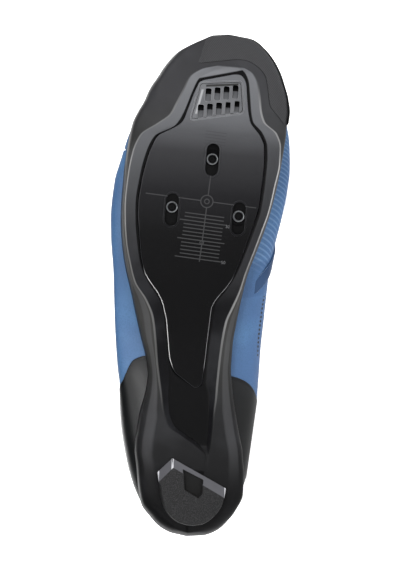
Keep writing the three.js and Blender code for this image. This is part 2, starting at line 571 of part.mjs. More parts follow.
// A sheet that follows the recess floor, between two heights above it.
function layer(low, high) {
  const stations = [0.27, 0.3, 0.33, 0.36, 0.39, 0.42, 0.45, 0.48, 0.51, 0.54, 0.57, ...CLEAT_FLAT];
  stations.push(0.815, 0.84, 0.865, 0.89, 0.915, 0.95);
  const half = 0.6 * BALL_WIDTH;
  const rings = stations.map((at) => {
    const z = floorHeight(at);
    const spots = [[half, low], [half, high], [-half, high], [-half, low]];
    return spots.map(([across, height]) => point(at * LENGTH, across, z + height));
  });
  return loft(rings);
}

const curve = (rows, from, to, steps, by = "height") =>
  Array.from({ length: steps + 1 }, (_, i) => {
    const at = from + ((to - from) * i) / steps;
    return new THREE.Vector2(at * LENGTH, smooth(rows, by, at) * HEIGHT);
  });

// The sole: block, toe bumper, recess, plate, nuts, vent and heel pad.
const skin = form(GAP);
const block = soleBlock(0);
const core = soleBlock(BUMPER_THICK + GAP);
const grooveLine = GROOVE.map((row) => flat(row, "across"));
const frontCorners = [
  new THREE.Vector2(0.829 * LENGTH, 0.7 * BALL_WIDTH),
  new THREE.Vector2(1.1 * LENGTH, 0.7 * BALL_WIDTH),
  new THREE.Vector2(1.1 * LENGTH, -0.35 * BALL_WIDTH),
];
const bumperZone = [...grooveLine, ...frontCorners];
const bumper = block
  .intersect(prism(bumperZone, -HEIGHT, HEIGHT))
  .subtract(soleBlock(BUMPER_THICK))
  .subtract(skin);

const plateLine = outlineOf(PLATE);
const ventLine = VENT.map((row) => flat(row, "across"));
const plateTop = PLATE_THICK - PLATE_PROUD;
const slotAt = (slot) => [slot.at * LENGTH, slot.across * BALL_WIDTH];

let outsole = block.subtract(
  prism(grown(bumperZone, BUMPER_GROOVE), -HEIGHT, HEIGHT).subtract(core),
);
outsole = outsole.subtract(skin);
const pocket = layer(-HEIGHT, plateTop + GAP).intersect(prism(grown(plateLine, GAP), -HEIGHT, HEIGHT));
outsole = outsole.subtract(pocket);
outsole = outsole.subtract(prism(drawnIn(ventLine, 0.8), -HEIGHT, HEIGHT));

let plate = layer(-PLATE_PROUD, plateTop).intersect(prism(plateLine, -HEIGHT, HEIGHT));
const nuts = [];
SLOTS.forEach((slot) => {
  const [along, across] = slotAt(slot);
  const face = floorHeight(slot.at) - PLATE_PROUD;
  const rim = 2 * CLEAT_SLOT_RIM;
  const ring = stadium(CLEAT_SLOT_LENGTH + rim, CLEAT_SLOT_WIDTH + rim, along, across);
  plate = plate.add(layer(-PLATE_PROUD - 0.5, 0).intersect(prism(ring, -HEIGHT, HEIGHT)));
  plate = plate.subtract(prism(stadium(CLEAT_SLOT_LENGTH, CLEAT_SLOT_WIDTH, along, across), -HEIGHT, HEIGHT));
  const travel = CLEAT_SLOT_LENGTH - NUT_DIAMETER;
  const channel = stadium(FLANGE_LENGTH + travel + 2 * GAP, FLANGE_LENGTH + 2 * GAP + 0.4, along, across);
  outsole = outsole.subtract(
    layer(plateTop, plateTop + GAP + CHANNEL_DEPTH).intersect(prism(channel, -HEIGHT, HEIGHT)),
  );
  const middle = along + slot.nut;
  const top = face + PLATE_THICK + GAP;
  const boss = new THREE.CylinderGeometry(NUT_DIAMETER / 2, NUT_DIAMETER / 2, top - face - 0.3, 16);
  boss.rotateX(Math.PI / 2);
  boss.translate(middle, -across, (top + face + 0.3) / 2);
  const flange = new THREE.CylinderGeometry(FLANGE_LENGTH / 2, FLANGE_LENGTH / 2, FLANGE_THICK, 16);
  flange.rotateX(Math.PI / 2);
  flange.translate(middle, -across, top + FLANGE_THICK / 2 - 0.05);
  const bore = new THREE.CylinderGeometry(NUT_BORE / 2, NUT_BORE / 2, HEIGHT, 12);
  bore.rotateX(Math.PI / 2);
  bore.translate(middle, -across, face);
  nuts.push(["nut_" + slot.name, solidOf(boss).add(solidOf(flange)).subtract(solidOf(bore))]);
});
plate = plate.subtract(prism(grown(ventLine, GAP), -HEIGHT, HEIGHT));

let vent = layer(-0.3, VENT_THICK - 0.3).intersect(prism(ventLine, -HEIGHT, HEIGHT));
VENT_ROWS.forEach((row) => {
  for (let i = 0; i < row.count; i++) {
    const along = (row.at + i * VENT_STEP.at) * LENGTH;
    const across = (row.across + i * VENT_STEP.across) * BALL_WIDTH;
    vent = vent.subtract(prism(stadium(VENT_SLOT_LENGTH, VENT_SLOT_WIDTH, along, across), -HEIGHT, HEIGHT));
  }
});

// The heel pad stands under the heel's flat land, its front facets falling back to the sole.
const padLine = outlineOf(PAD);
const padTop = smooth(SOLE, "spine", 0.1) * HEIGHT - GAP;
const padPoints = [
  ...padLine.map((p) => new THREE.Vector3(p.x, p.y, padTop)),
  ...padLine.map((p) => new THREE.Vector3(p.x, p.y, padTop - 1.5)),
];
const padFoot = grown(padLine, -1.2);
padFoot.forEach((p) => {
  const front = p.x > 0.118 * LENGTH || (p.x > 0.1 * LENGTH && p.y > 0);
  padPoints.push(new THREE.Vector3(front ? p.x - PAD_BEVEL : p.x, p.y, 0));
});
const padRing = padLine.length;
const padRings = [0, 1, 2].map((k) => padPoints.slice(k * padRing, (k + 1) * padRing));
const padWindow = prism(PAD_WINDOW.map((row) => flat(row, "across")), -HEIGHT, PAD_WINDOW_DEPTH);
const pad = loft(padRings)
  .subtract(skin)
  .subtract(block.translate([0, 0, -GAP]))
  .subtract(padWindow);

// The upper with its counter, tongue, insole and straps.
const collarLine = curve(COLLAR, -0.09, 0.4, 22);
collarLine.push(new THREE.Vector2(0.4 * LENGTH, 2 * HEIGHT), new THREE.Vector2(-0.09 * LENGTH, 2 * HEIGHT));
const aboveCollar = sidePrism(collarLine, -BALL_WIDTH, BALL_WIDTH);
const throatRows = Array.from({ length: 9 }, (_, i) => 0.3 + (0.402 * i) / 8).map((at) => ({
  at,
  lateral: smooth(THROAT, "lateral", at),
  medial: smooth(THROAT, "medial", at),
}));
const throat = prism(outlineOf(throatRows), 0.4 * HEIGHT, 2 * HEIGHT);

const underRows = [];
for (let at = 0.04; at < 0.951; at += 0.065) {
  underRows.push({
    at,
    lateral: smooth(SOLE, "edgeL", at) - LASTING_MARGIN / BALL_WIDTH,
    medial: smooth(SOLE, "edgeM", at) + LASTING_MARGIN / BALL_WIDTH,
  });
}
const under = prism(outlineOf(underRows), -HEIGHT, 0.36 * HEIGHT);

const counterLine = (rows, by) => {
  const line = rows.map((row) => new THREE.Vector2(row.at * LENGTH + by, row.height * HEIGHT));
  line.push(new THREE.Vector2(-0.1 * LENGTH, 0.9 * HEIGHT), new THREE.Vector2(-0.1 * LENGTH, 0.1 * HEIGHT));
  return line;
};
const counterZone = (by) =>
  sidePrism(counterLine(COUNTER_LATERAL, by), -0.01, BALL_WIDTH).add(
    sidePrism(counterLine(COUNTER_MEDIAL, by), -BALL_WIDTH, 0.01),
  );

const last = form(0);
const inner = form(-WALL);
let upper = last.subtract(inner);
upper = upper.subtract(counterZone(GAP).subtract(form(-COUNTER_THICK - GAP)));
upper = upper.subtract(aboveCollar).subtract(throat).subtract(under);

let counter = last.intersect(counterZone(0)).subtract(form(-COUNTER_THICK));
counter = counter.subtract(aboveCollar.translate([0, 0, -4])).subtract(under);

const tongueRows = Array.from({ length: 14 }, (_, i) => 0.305 + (0.435 * i) / 13).map((at) => ({
  at,
  lateral: smooth(TONGUE, "lateral", at),
  medial: smooth(TONGUE, "medial", at),
}));
const tongue = form(-WALL - GAP)
  .subtract(form(-WALL - GAP - TONGUE_THICK))
  .intersect(prism(outlineOf(tongueRows), 0.42 * HEIGHT, 2 * HEIGHT));

const INSOLE_STATIONS = [
  0.008, 0.04, 0.1, 0.2, 0.3, 0.36, 0.42, 0.5, 0.58, 0.66, 0.74, 0.82, 0.9, 0.96, 0.985,
];
const insoleRings = INSOLE_STATIONS.map((at) => {
  const z = smooth(FORM, "base", at) * HEIGHT + WALL + GAP + INSOLE_THICK;
  const half = 0.7 * BALL_WIDTH;
  const spots = [[half, z], [-half, z], [-half, -HEIGHT], [half, -HEIGHT]];
  return spots.map(([across, height]) => point(at * LENGTH, across, height));
});
const insole = form(-WALL - GAP).intersect(loft(insoleRings));

// A strap lies just off the form, square ended, along its own table.
function strap(rows) {
  const first = rows[0].around;
  const end = rows[rows.length - 1].around;
  const steps = 18;
  const rings = [];
  for (let i = 0; i <= steps; i++) {
    const around = first + ((end - first) * i) / steps;
    const at = smooth(rows, "at", around, "around");
    const half = smooth(rows, "half", around, "around");
    const ring = [-1, 0, 1].map((k) => formPoint(at + k * half, around, 0.5));
    ring.push(...[1, 0, -1].map((k) => formPoint(at + k * half, around, 0.5 + STRAP_THICK)));
    rings.push(ring);
  }
  return loft(rings);
}

const largest = (solid) => solid.decompose().reduce((a, b) => (b.volume() > a.volume() ? b : a));

// Named meshes, laid as the shoe rests.
const PIECES = [
  ["upper", upper, 0x4a6f8f, 0.6, 0],
  ["outsole", outsole, 0x2e3134, 0.45, 0],
  ["sole_plate", plate, 0x0c0c0e, 0.15, 0],
  ["toe_bumper", bumper, 0x26282a, 0.8, 0],
  ["toe_vent", vent, 0x5a5d60, 0.5, 0],
  ["heel_pad", pad, 0x141414, 0.85, 0],
  ["heel_counter", counter, 0x121316, 0.35, 0],
  ["tongue", tongue, 0x1d1f22, 0.8, 0],
  ["insole", insole, 0x33363a, 0.9, 0],
  ["front_strap", strap(FRONT_STRAP), 0x23384a, 0.6, 0],
  ["instep_strap", strap(INSTEP_STRAP), 0x23384a, 0.6, 0],
];
nuts.forEach(([name, solid]) => PIECES.push([name, solid, 0x9a9da0, 0.35, 1]));

function meshOf([name, solid, colour, roughness, metalness]) {
  const data = largest(solid).getMesh();
  const points = [];
  for (let i = 0; i < data.vertProperties.length; i += data.numProp) {
    points.push(new THREE.Vector3().fromArray(data.vertProperties, i));
  }
  const material = new THREE.MeshStandardMaterial({ color: colour, roughness, metalness });
  const mesh = new THREE.Mesh(geometryOf(points, [...data.triVerts]), material);
  mesh.name = name;
  return mesh;
}
const meshes = PIECES.map(meshOf);

// The shoe lies on its medial side: the floor's upward direction that leaves the centre of mass lowest.
function restingUp() {
  const centre = new THREE.Vector3();
  let total = 0;
  const points = [];
  meshes.forEach((mesh) => {
    const p = mesh.geometry.attributes.position;
    const index = mesh.geometry.index;
    const [a, b, c] = [new THREE.Vector3(), new THREE.Vector3(), new THREE.Vector3()];
    for (let i = 0; i < index.count; i += 3) {
      a.fromBufferAttribute(p, index.getX(i));
      b.fromBufferAttribute(p, index.getX(i + 1));
      c.fromBufferAttribute(p, index.getX(i + 2));
      const volume = a.dot(new THREE.Vector3().crossVectors(b, c)) / 6;
      centre.addScaledVector(a.clone().add(b).add(c), volume / 4);
      total += volume;
    }
    for (let i = 0; i < p.count; i++) points.push(new THREE.Vector3().fromBufferAttribute(p, i));
  });
  centre.divideScalar(total);
  const upOf = (roll, yaw) => {
    const level = Math.cos(yaw);
    return new THREE.Vector3(Math.sin(yaw), -level * Math.cos(roll), level * Math.sin(roll));
  };
  const heightOf = (roll, yaw) => {
    const up = upOf(roll, yaw);
    let low = Infinity;
    points.forEach((p) => {
      low = Math.min(low, p.dot(up));
    });
    return centre.dot(up) - low;
  };
  let [roll, yaw] = [0, 0];
  let best = heightOf(roll, yaw);
  for (let step = 0.04; step > 1e-7; ) {
    let moved = false;
    for (let k = 0; k < 48; k++) {
      const r = roll + step * Math.cos((k * Math.PI) / 24);
      const y = yaw + step * Math.sin((k * Math.PI) / 24);
      const height = heightOf(r, y);
      if (height < best - 1e-9) [roll, yaw, best, moved] = [r, y, height, true];
    }
    if (!moved) step /= 2;
  }
  return upOf(roll, yaw);
}

const up = restingUp();
const toe = new THREE.Vector3(1, 0, 0).addScaledVector(up, -up.x).normalize();
const back = new THREE.Vector3().crossVectors(up, toe);
const turn = new THREE.Matrix4().makeBasis(toe, back, up).transpose();
const bounds = new THREE.Box3();
meshes.forEach((mesh) => {
  mesh.geometry.applyMatrix4(turn);
  mesh.geometry.computeBoundingBox();
  bounds.union(mesh.geometry.boundingBox);
});
const middle = bounds.getCenter(new THREE.Vector3());
const shoe = new THREE.Group();
shoe.name = "cycling_shoe";
meshes.forEach((mesh) => {
  mesh.geometry.translate(-middle.x, -middle.y, -bounds.min.z);
  mesh.geometry.computeVertexNormals();
  shoe.add(mesh);
});

export default shoe;
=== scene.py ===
import math

import bmesh
import bpy
import numpy as np
from mathutils import Matrix, Vector


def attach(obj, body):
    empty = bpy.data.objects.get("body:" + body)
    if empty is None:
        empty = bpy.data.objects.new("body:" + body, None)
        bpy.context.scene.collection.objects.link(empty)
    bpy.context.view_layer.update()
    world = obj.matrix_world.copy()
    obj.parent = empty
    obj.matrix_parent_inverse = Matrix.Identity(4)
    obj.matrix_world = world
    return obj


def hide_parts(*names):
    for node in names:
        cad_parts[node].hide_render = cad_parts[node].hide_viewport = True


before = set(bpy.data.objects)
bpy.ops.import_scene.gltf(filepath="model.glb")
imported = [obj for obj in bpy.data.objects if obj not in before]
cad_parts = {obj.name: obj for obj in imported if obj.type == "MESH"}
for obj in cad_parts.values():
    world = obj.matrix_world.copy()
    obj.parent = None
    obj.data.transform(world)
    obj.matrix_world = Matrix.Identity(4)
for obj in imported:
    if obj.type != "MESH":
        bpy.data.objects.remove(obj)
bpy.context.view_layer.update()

# Sizes in mm. The tables hold shares of the first three.
LENGTH, BALL_WIDTH, HEIGHT = 283.0, 98.4, 100.0
WALL = 2.4
FORM_INSET = 1.6
PLATE_PROUD, PLATE_THICK = 0.6, 2.7
SLOT_LENGTH, SLOT_WIDTH = 18.2, 7.3
PAD_BEVEL = 5.2
CLEAT_FLAT = (0.6, 0.79)
# Each slot's place along and across, and how far its nut stands from the slot's middle, in mm.
SLOTS = {
    "front": (0.7475, 0.045, 0.35),
    "lateral": (0.643, 0.25, 1.5),
    "medial": (0.637, -0.131, 1.2),
}


def table(names, *rows):
    """A table with named columns, a row per section."""
    return {name: np.array([row[i] for row in rows]) for i, name in enumerate(names.split())}


FORM = table("at lateral medial wideL wideM top crest base crown",
    (0.000, 0.035, 0.043, 0.340, 0.340, 1.120, 0.000, 0.215, 2.60),
    (0.007, 0.100, 0.108, 0.340, 0.340, 1.140, 0.003, 0.209, 2.60),
    (0.018, 0.159, 0.165, 0.340, 0.340, 1.170, 0.005, 0.202, 2.60),
    (0.032, 0.203, 0.207, 0.340, 0.360, 1.190, 0.008, 0.196, 2.60),
    (0.057, 0.262, 0.253, 0.340, 0.380, 1.220, 0.010, 0.191, 2.60),
    (0.092, 0.314, 0.298, 0.340, 0.410, 1.250, 0.010, 0.189, 2.60),
    (0.141, 0.362, 0.331, 0.340, 0.440, 1.270, 0.010, 0.190, 2.60),
    (0.212, 0.411, 0.348, 0.340, 0.460, 1.260, 0.010, 0.202, 2.50),
    (0.276, 0.440, 0.354, 0.330, 0.460, 1.215, 0.010, 0.219, 2.40),
    (0.332, 0.471, 0.352, 0.315, 0.445, 1.110, 0.015, 0.232, 2.25),
    (0.389, 0.497, 0.348, 0.300, 0.420, 1.000, 0.020, 0.230, 2.10),
    (0.452, 0.520, 0.350, 0.275, 0.385, 0.895, 0.015, 0.206, 2.00),
    (0.516, 0.542, 0.350, 0.250, 0.330, 0.805, 0.000, 0.170, 2.00),
    (0.580, 0.571, 0.364, 0.235, 0.295, 0.730, -0.025, 0.139, 2.00),
    (0.643, 0.585, 0.391, 0.225, 0.270, 0.668, -0.046, 0.118, 2.05),
    (0.693, 0.579, 0.409, 0.223, 0.260, 0.623, -0.056, 0.114, 2.10),
    (0.735, 0.555, 0.415, 0.223, 0.255, 0.589, -0.061, 0.121, 2.20),
    (0.792, 0.516, 0.403, 0.235, 0.260, 0.564, -0.061, 0.146, 2.30),
    (0.834, 0.461, 0.378, 0.255, 0.270, 0.544, -0.056, 0.176, 2.40),
    (0.876, 0.392, 0.331, 0.280, 0.290, 0.522, -0.046, 0.208, 2.50),
    (0.919, 0.319, 0.289, 0.305, 0.310, 0.494, -0.036, 0.236, 2.50),
    (0.954, 0.250, 0.236, 0.320, 0.320, 0.462, -0.025, 0.256, 2.50),
    (0.979, 0.159, 0.171, 0.325, 0.325, 0.430, -0.020, 0.269, 2.50),
    (0.993, 0.073, 0.096, 0.325, 0.325, 0.406, -0.020, 0.276, 2.50),
    (1.000, 0.020, 0.041, 0.325, 0.325, 0.386, -0.020, 0.280, 2.50),
)
SOLE = table("at edgeL edgeM landL landM ridgeL ridgeM floorL floorM spine depth rise rim",
    (0.000, 0.041, -0.051, 0.022, -0.033, 0.006, -0.016, 0.002, -0.012, 0.118, 0.000, 0.026, 0.108),
    (0.007, 0.112, -0.122, 0.077, -0.087, 0.006, -0.016, 0.002, -0.012, 0.102, 0.000, 0.032, 0.122),
    (0.018, 0.169, -0.177, 0.122, -0.130, 0.006, -0.016, 0.002, -0.012, 0.086, 0.000, 0.036, 0.136),
    (0.032, 0.211, -0.216, 0.159, -0.164, 0.006, -0.020, 0.002, -0.015, 0.074, 0.000, 0.040, 0.146),
    (0.057, 0.272, -0.263, 0.211, -0.205, 0.000, -0.030, -0.005, -0.024, 0.066, 0.000, 0.034, 0.150),
    (0.092, 0.299, -0.298, 0.238, -0.244, -0.020, -0.051, -0.026, -0.045, 0.064, 0.000, 0.034, 0.150),
    (0.134, 0.320, -0.294, 0.260, -0.234, -0.053, -0.077, -0.059, -0.071, 0.064, 0.000, 0.034, 0.146),
    (0.166, 0.337, -0.280, 0.278, -0.228, -0.055, -0.079, -0.061, -0.073, 0.072, 0.003, 0.034, 0.140),
    (0.184, 0.339, -0.273, 0.278, -0.220, 0.002, -0.083, -0.030, -0.067, 0.083, 0.030, 0.039, 0.136),
    (0.201, 0.335, -0.260, 0.274, -0.207, 0.081, -0.087, 0.045, -0.067, 0.095, 0.036, 0.038, 0.132),
    (0.219, 0.331, -0.245, 0.268, -0.195, 0.163, -0.089, 0.124, -0.067, 0.106, 0.038, 0.036, 0.128),
    (0.247, 0.322, -0.225, 0.260, -0.179, 0.196, -0.090, 0.161, -0.065, 0.122, 0.038, 0.033, 0.122),
    (0.283, 0.303, -0.201, 0.254, -0.159, 0.218, -0.096, 0.173, -0.057, 0.138, 0.034, 0.030, 0.116),
    (0.311, 0.297, -0.187, 0.258, -0.146, 0.236, -0.097, 0.175, -0.035, 0.147, 0.030, 0.028, 0.112),
    (0.346, 0.315, -0.173, 0.274, -0.138, 0.256, -0.099, 0.191, -0.033, 0.152, 0.030, 0.028, 0.110),
    (0.389, 0.356, -0.172, 0.309, -0.140, 0.276, -0.104, 0.213, -0.035, 0.148, 0.030, 0.028, 0.110),
    (0.431, 0.394, -0.181, 0.331, -0.152, 0.303, -0.116, 0.234, -0.039, 0.128, 0.030, 0.030, 0.114),
    (0.463, 0.422, -0.190, 0.370, -0.169, 0.350, -0.146, 0.268, -0.045, 0.106, 0.030, 0.032, 0.118),
    (0.495, 0.453, -0.201, 0.431, -0.187, 0.421, -0.177, 0.337, -0.100, 0.082, 0.030, 0.033, 0.124),
    (0.530, 0.484, -0.218, 0.465, -0.205, 0.458, -0.199, 0.394, -0.150, 0.060, 0.030, 0.035, 0.130),
    (0.572, 0.511, -0.252, 0.498, -0.238, 0.491, -0.233, 0.425, -0.189, 0.039, 0.030, 0.036, 0.136),
    (0.615, 0.528, -0.287, 0.517, -0.273, 0.510, -0.267, 0.446, -0.224, 0.024, 0.031, 0.036, 0.140),
    (0.657, 0.534, -0.314, 0.525, -0.303, 0.519, -0.298, 0.455, -0.252, 0.016, 0.034, 0.036, 0.144),
    (0.707, 0.534, -0.338, 0.520, -0.325, 0.514, -0.319, 0.443, -0.262, 0.014, 0.036, 0.036, 0.148),
    (0.749, 0.528, -0.351, 0.506, -0.341, 0.499, -0.336, 0.421, -0.264, 0.019, 0.034, 0.035, 0.152),
    (0.784, 0.518, -0.361, 0.472, -0.339, 0.462, -0.333, 0.380, -0.256, 0.033, 0.030, 0.034, 0.158),
    (0.809, 0.505, -0.367, 0.382, -0.311, 0.370, -0.303, 0.268, -0.224, 0.047, 0.030, 0.033, 0.164),
    (0.830, 0.482, -0.368, 0.311, -0.240, 0.301, -0.230, 0.232, -0.167, 0.063, 0.030, 0.032, 0.168),
    (0.852, 0.451, -0.372, 0.289, -0.220, 0.272, -0.207, 0.209, -0.152, 0.082, 0.030, 0.032, 0.170),
    (0.880, 0.421, -0.360, 0.256, -0.209, 0.238, -0.195, 0.183, -0.142, 0.110, 0.030, 0.032, 0.170),
    (0.908, 0.376, -0.334, 0.232, -0.193, 0.207, -0.179, 0.148, -0.130, 0.142, 0.030, 0.032, 0.166),
    (0.926, 0.348, -0.315, 0.213, -0.171, 0.142, -0.150, 0.065, -0.106, 0.163, 0.026, 0.031, 0.158),
    (0.940, 0.321, -0.295, 0.193, -0.152, 0.026, -0.081, -0.014, -0.051, 0.180, 0.004, 0.030, 0.150),
    (0.958, 0.278, -0.262, 0.173, -0.142, 0.010, -0.041, 0.000, -0.030, 0.203, 0.000, 0.030, 0.140),
    (0.979, 0.189, -0.207, 0.117, -0.134, 0.000, -0.030, -0.006, -0.024, 0.233, 0.000, 0.030, 0.128),
    (0.993, 0.106, -0.148, 0.061, -0.102, -0.006, -0.026, -0.010, -0.022, 0.254, 0.000, 0.026, 0.116),
    (1.000, 0.026, -0.057, 0.014, -0.043, -0.008, -0.020, -0.010, -0.018, 0.270, 0.000, 0.024, 0.106),
)
PLATE = table("at lateral medial",
    (0.2975, 0.0305, 0.0163),
    (0.3039, 0.0610, -0.0122),
    (0.3251, 0.1524, -0.0152),
    (0.3498, 0.1839, -0.0193),
    (0.3887, 0.2033, -0.0224),
    (0.4276, 0.2226, -0.0254),
    (0.4594, 0.2530, -0.0274),
    (0.4770, 0.2825, -0.0528),
    (0.4982, 0.3364, -0.0976),
    (0.5159, 0.3720, -0.1280),
    (0.5477, 0.4004, -0.1565),
    (0.5866, 0.4187, -0.1870),
    (0.6254, 0.4380, -0.2165),
    (0.6608, 0.4421, -0.2398),
    (0.7067, 0.4299, -0.2470),
    (0.7456, 0.4085, -0.2500),
    (0.7739, 0.3821, -0.2429),
    (0.7866, 0.3618, -0.2388),
    (0.8057, 0.2663, -0.2093),
    (0.8163, 0.2317, -0.1789),
    (0.8269, 0.2175, -0.1545),
    (0.8445, 0.2033, -0.1413),
    (0.8728, 0.1789, -0.1291),
    (0.8905, 0.1606, -0.1240),
    (0.9032, 0.1382, -0.1199),
    (0.9138, 0.0285, -0.1077),
    (0.9216, -0.0508, -0.0854),
)
PAD = table("at lateral medial",
    (0.0279, 0.0163, -0.0203),
    (0.0304, 0.0549, -0.0610),
    (0.0375, 0.0955, -0.0996),
    (0.0488, 0.1321, -0.1341),
    (0.0693, 0.1657, -0.1717),
    (0.0883, 0.1829, -0.1850),
    (0.1060, 0.1921, -0.1911),
    (0.1265, 0.2063, -0.0650),
    (0.1420, 0.1677, 0.0305),
    (0.1569, 0.1311, 0.1230),
)
GROOVE = table("at across",
    (0.9399, 0.1717),
    (0.9357, 0.1565),
    (0.9505, -0.0549),
    (0.9505, -0.1057),
    (0.9463, -0.1423),
    (0.9364, -0.1880),
    (0.9223, -0.2226),
    (0.9046, -0.2348),
    (0.8799, -0.2459),
    (0.8643, -0.2541),
    (0.8565, -0.2703),
    (0.8286, -0.3496),
)
VENT = table("at across",
    (0.901, 0.14),
    (0.911, -0.082),
    (0.906, -0.1),
    (0.851, -0.119),
    (0.842, -0.108),
    (0.82, 0.172),
    (0.823, 0.19),
    (0.828, 0.192),
    (0.896, 0.152),
)
COLLAR = table("at height",
    (-0.09, 0.79),
    (0.014, 0.775),
    (0.05, 0.735),
    (0.1, 0.665),
    (0.16, 0.625),
    (0.22, 0.61),
    (0.28, 0.645),
    (0.33, 0.72),
    (0.362, 0.81),
    (0.385, 0.92),
    (0.4, 1.04),
)
THROAT = table("at lateral medial",
    (0.3, 0.235, -0.2),
    (0.4, 0.205, -0.175),
    (0.5, 0.16, -0.155),
    (0.6, 0.1, -0.135),
    (0.66, 0.052, -0.125),
    (0.69, 0.02, -0.112),
    (0.702, -0.02, -0.08),
)
TONGUE = table("at lateral medial",
    (0.305, 0.12, -0.1),
    (0.315, 0.19, -0.165),
    (0.34, 0.245, -0.215),
    (0.42, 0.26, -0.225),
    (0.55, 0.215, -0.205),
    (0.66, 0.13, -0.19),
    (0.74, 0.09, -0.17),
)
COUNTER_LATERAL = table("at height",
    (0.37, 0.1),
    (0.355, 0.235),
    (0.341, 0.253),
    (0.3286, 0.26),
    (0.3127, 0.268),
    (0.297, 0.28),
    (0.265, 0.36),
    (0.215, 0.56),
    (0.17, 0.9),
)
COUNTER_MEDIAL = table("at height",
    (0.34, 0.1),
    (0.325, 0.24),
    (0.285, 0.36),
    (0.245, 0.47),
    (0.2, 0.58),
    (0.16, 0.9),
)
FRONT_STRAP = table("around at half",
    (0.89, 0.495, 0.018),
    (0.82, 0.532, 0.019),
    (0.75, 0.564, 0.022),
    (0.66, 0.595, 0.028),
    (0.5, 0.622, 0.031),
    (0.4, 0.618, 0.031),
    (0.32, 0.6, 0.027),
)
INSTEP_STRAP = table("around at half",
    (0.685, 0.49, 0.034),
    (0.6, 0.482, 0.041),
    (0.5, 0.472, 0.043),
    (0.4, 0.462, 0.043),
    (0.315, 0.452, 0.036),
)
PAD_WINDOW = table("at across",
    (0.1371, 0.063),
    (0.1208, -0.0508),
    (0.0936, -0.0549),
    (0.0837, -0.0356),
    (0.0979, 0.0467),
)

# How the upright shoe is rolled and yawed to lie on its medial side, and where its box stands.
ROLL, YAW = math.radians(4.576789), math.radians(3.258541)
TOE = np.array([math.cos(YAW), math.sin(YAW) * math.cos(ROLL), -math.sin(YAW) * math.sin(ROLL)])
BACK = np.array([0.0, math.sin(ROLL), math.cos(ROLL)])
UP = np.array([math.sin(YAW), -math.cos(YAW) * math.cos(ROLL), math.cos(YAW) * math.sin(ROLL)])
SHIFT = np.array([141.4916, 55.9752, -26.9566])


def smooth(rows, key, at, by="at"):
    """Reads a column between its rows along a monotone curve."""
    x, y = rows[by], rows[key]
    if x[0] > x[-1]:
        x, y = x[::-1], y[::-1]
    at = np.clip(np.asarray(at, float), x[0], x[-1])
    slope = np.diff(y) / np.diff(x)
    tangent = np.empty_like(y)
    tangent[0], tangent[-1] = slope[0], slope[-1]
    a, b = slope[:-1], slope[1:]
    same = a * b > 0
    tangent[1:-1] = np.where(same, 2 * a * b / np.where(same, a + b, 1), 0)
    i = np.clip(np.searchsorted(x, at, side="right") - 1, 0, len(x) - 2)
    span = x[i + 1] - x[i]
    t = (at - x[i]) / span
    return (
        y[i] * (2 * t**3 - 3 * t**2 + 1)
        + tangent[i] * span * (t**3 - 2 * t**2 + t)
        + y[i + 1] * (3 * t**2 - 2 * t**3)
        + tangent[i + 1] * span * (t**3 - t**2)
    )


def ease(a, b, x):
    """0 up to a, 1 from b on, eased between."""
    t = np.clip((np.asarray(x, float) - a) / (b - a), 0, 1)
    return t * t * (3 - 2 * t)


def bell(x, middle, half):
    """1 at the middle, falling off smoothly to both sides."""
    return np.exp(-(((np.asarray(x, float) - middle) / half) ** 2))


def place(along, across, height):
    """Upright millimetres to metres where the shoe lies."""
    p = np.stack(np.broadcast_arrays(along, -np.asarray(across, float), height), axis=-1)
    lying = np.stack([p @ TOE, p @ BACK, p @ UP], axis=-1) - SHIFT
    return lying / 1000


def lean(along, height):
    """How far forward the heel's back stands at a height."""
    near = np.maximum(0, 1 - along / (0.2 * LENGTH))
    off = (height - 0.31 * HEIGHT) / HEIGHT
    back = np.where(off > 0, 17 * off**2 + 4 * off, 90 * off**2)
    return near**2 * np.minimum(back, 9)


def section(at, medial):
    """The form's numbers at a station, for one side of the shoe each."""
    close = np.sqrt(np.clip(np.minimum(at, 1 - at) / 0.006, 0, 1))
    side = np.where(medial, smooth(FORM, "medial", at), smooth(FORM, "lateral", at)) * BALL_WIDTH * close
    wide = np.where(medial, smooth(FORM, "wideM", at), smooth(FORM, "wideL", at)) * HEIGHT
    base, top = smooth(FORM, "base", at) * HEIGHT, smooth(FORM, "top", at) * HEIGHT
    wide = np.clip(wide, base + 2, top - 2)
    room = np.clip(side / (0.35 * BALL_WIDTH), 0.0, 1)
    crest = smooth(FORM, "crest", at) * BALL_WIDTH * room * np.where(medial, -1, 1)
    return side, wide, base, top, crest, smooth(FORM, "crown", at)


def form_upright(at, rise, medial, out):
    """A point on the form's skin. rise: 0 under the foot, 0.25 widest, 0.5 crest."""
    at, rise, out = np.broadcast_arrays(at, rise, out)
    side, wide, base, top, crest, crown = section(at, medial)
    side = np.maximum(0, side + out * np.clip(side / 8, 0, 1))
    base, top = base - out, top + out
    upper = rise > 0.25
    middle = np.where(upper, crest, 0)
    power = 2 / np.where(upper, crown, 2.6)
    turn = (0.25 - rise) * 2 * np.pi
    c = np.abs(np.cos(turn)) ** power
    s = np.abs(np.sin(turn)) ** power
    across = (middle + (side - middle) * c) * np.where(medial, -1, 1)
    height = np.where(upper, wide + (top - wide) * s, wide - (wide - base) * s)
    along = at * (LENGTH - 2 * FORM_INSET + 2 * out) + FORM_INSET - out
    return along + lean(along, height), across, height


def rise_at_height(at, medial, height):
    """Where the form's skin stands at a height."""
    _, wide, base, top, _, crown = section(at, medial)
    up = np.clip((height - wide) / (top - wide), 0, 1) ** (crown / 2)
    down = np.clip((wide - height) / (wide - base), 0, 1) ** 1.3
    return np.where(height > wide, 0.25 + np.arcsin(up) / (2 * np.pi), 0.25 - np.arcsin(down) / (2 * np.pi))


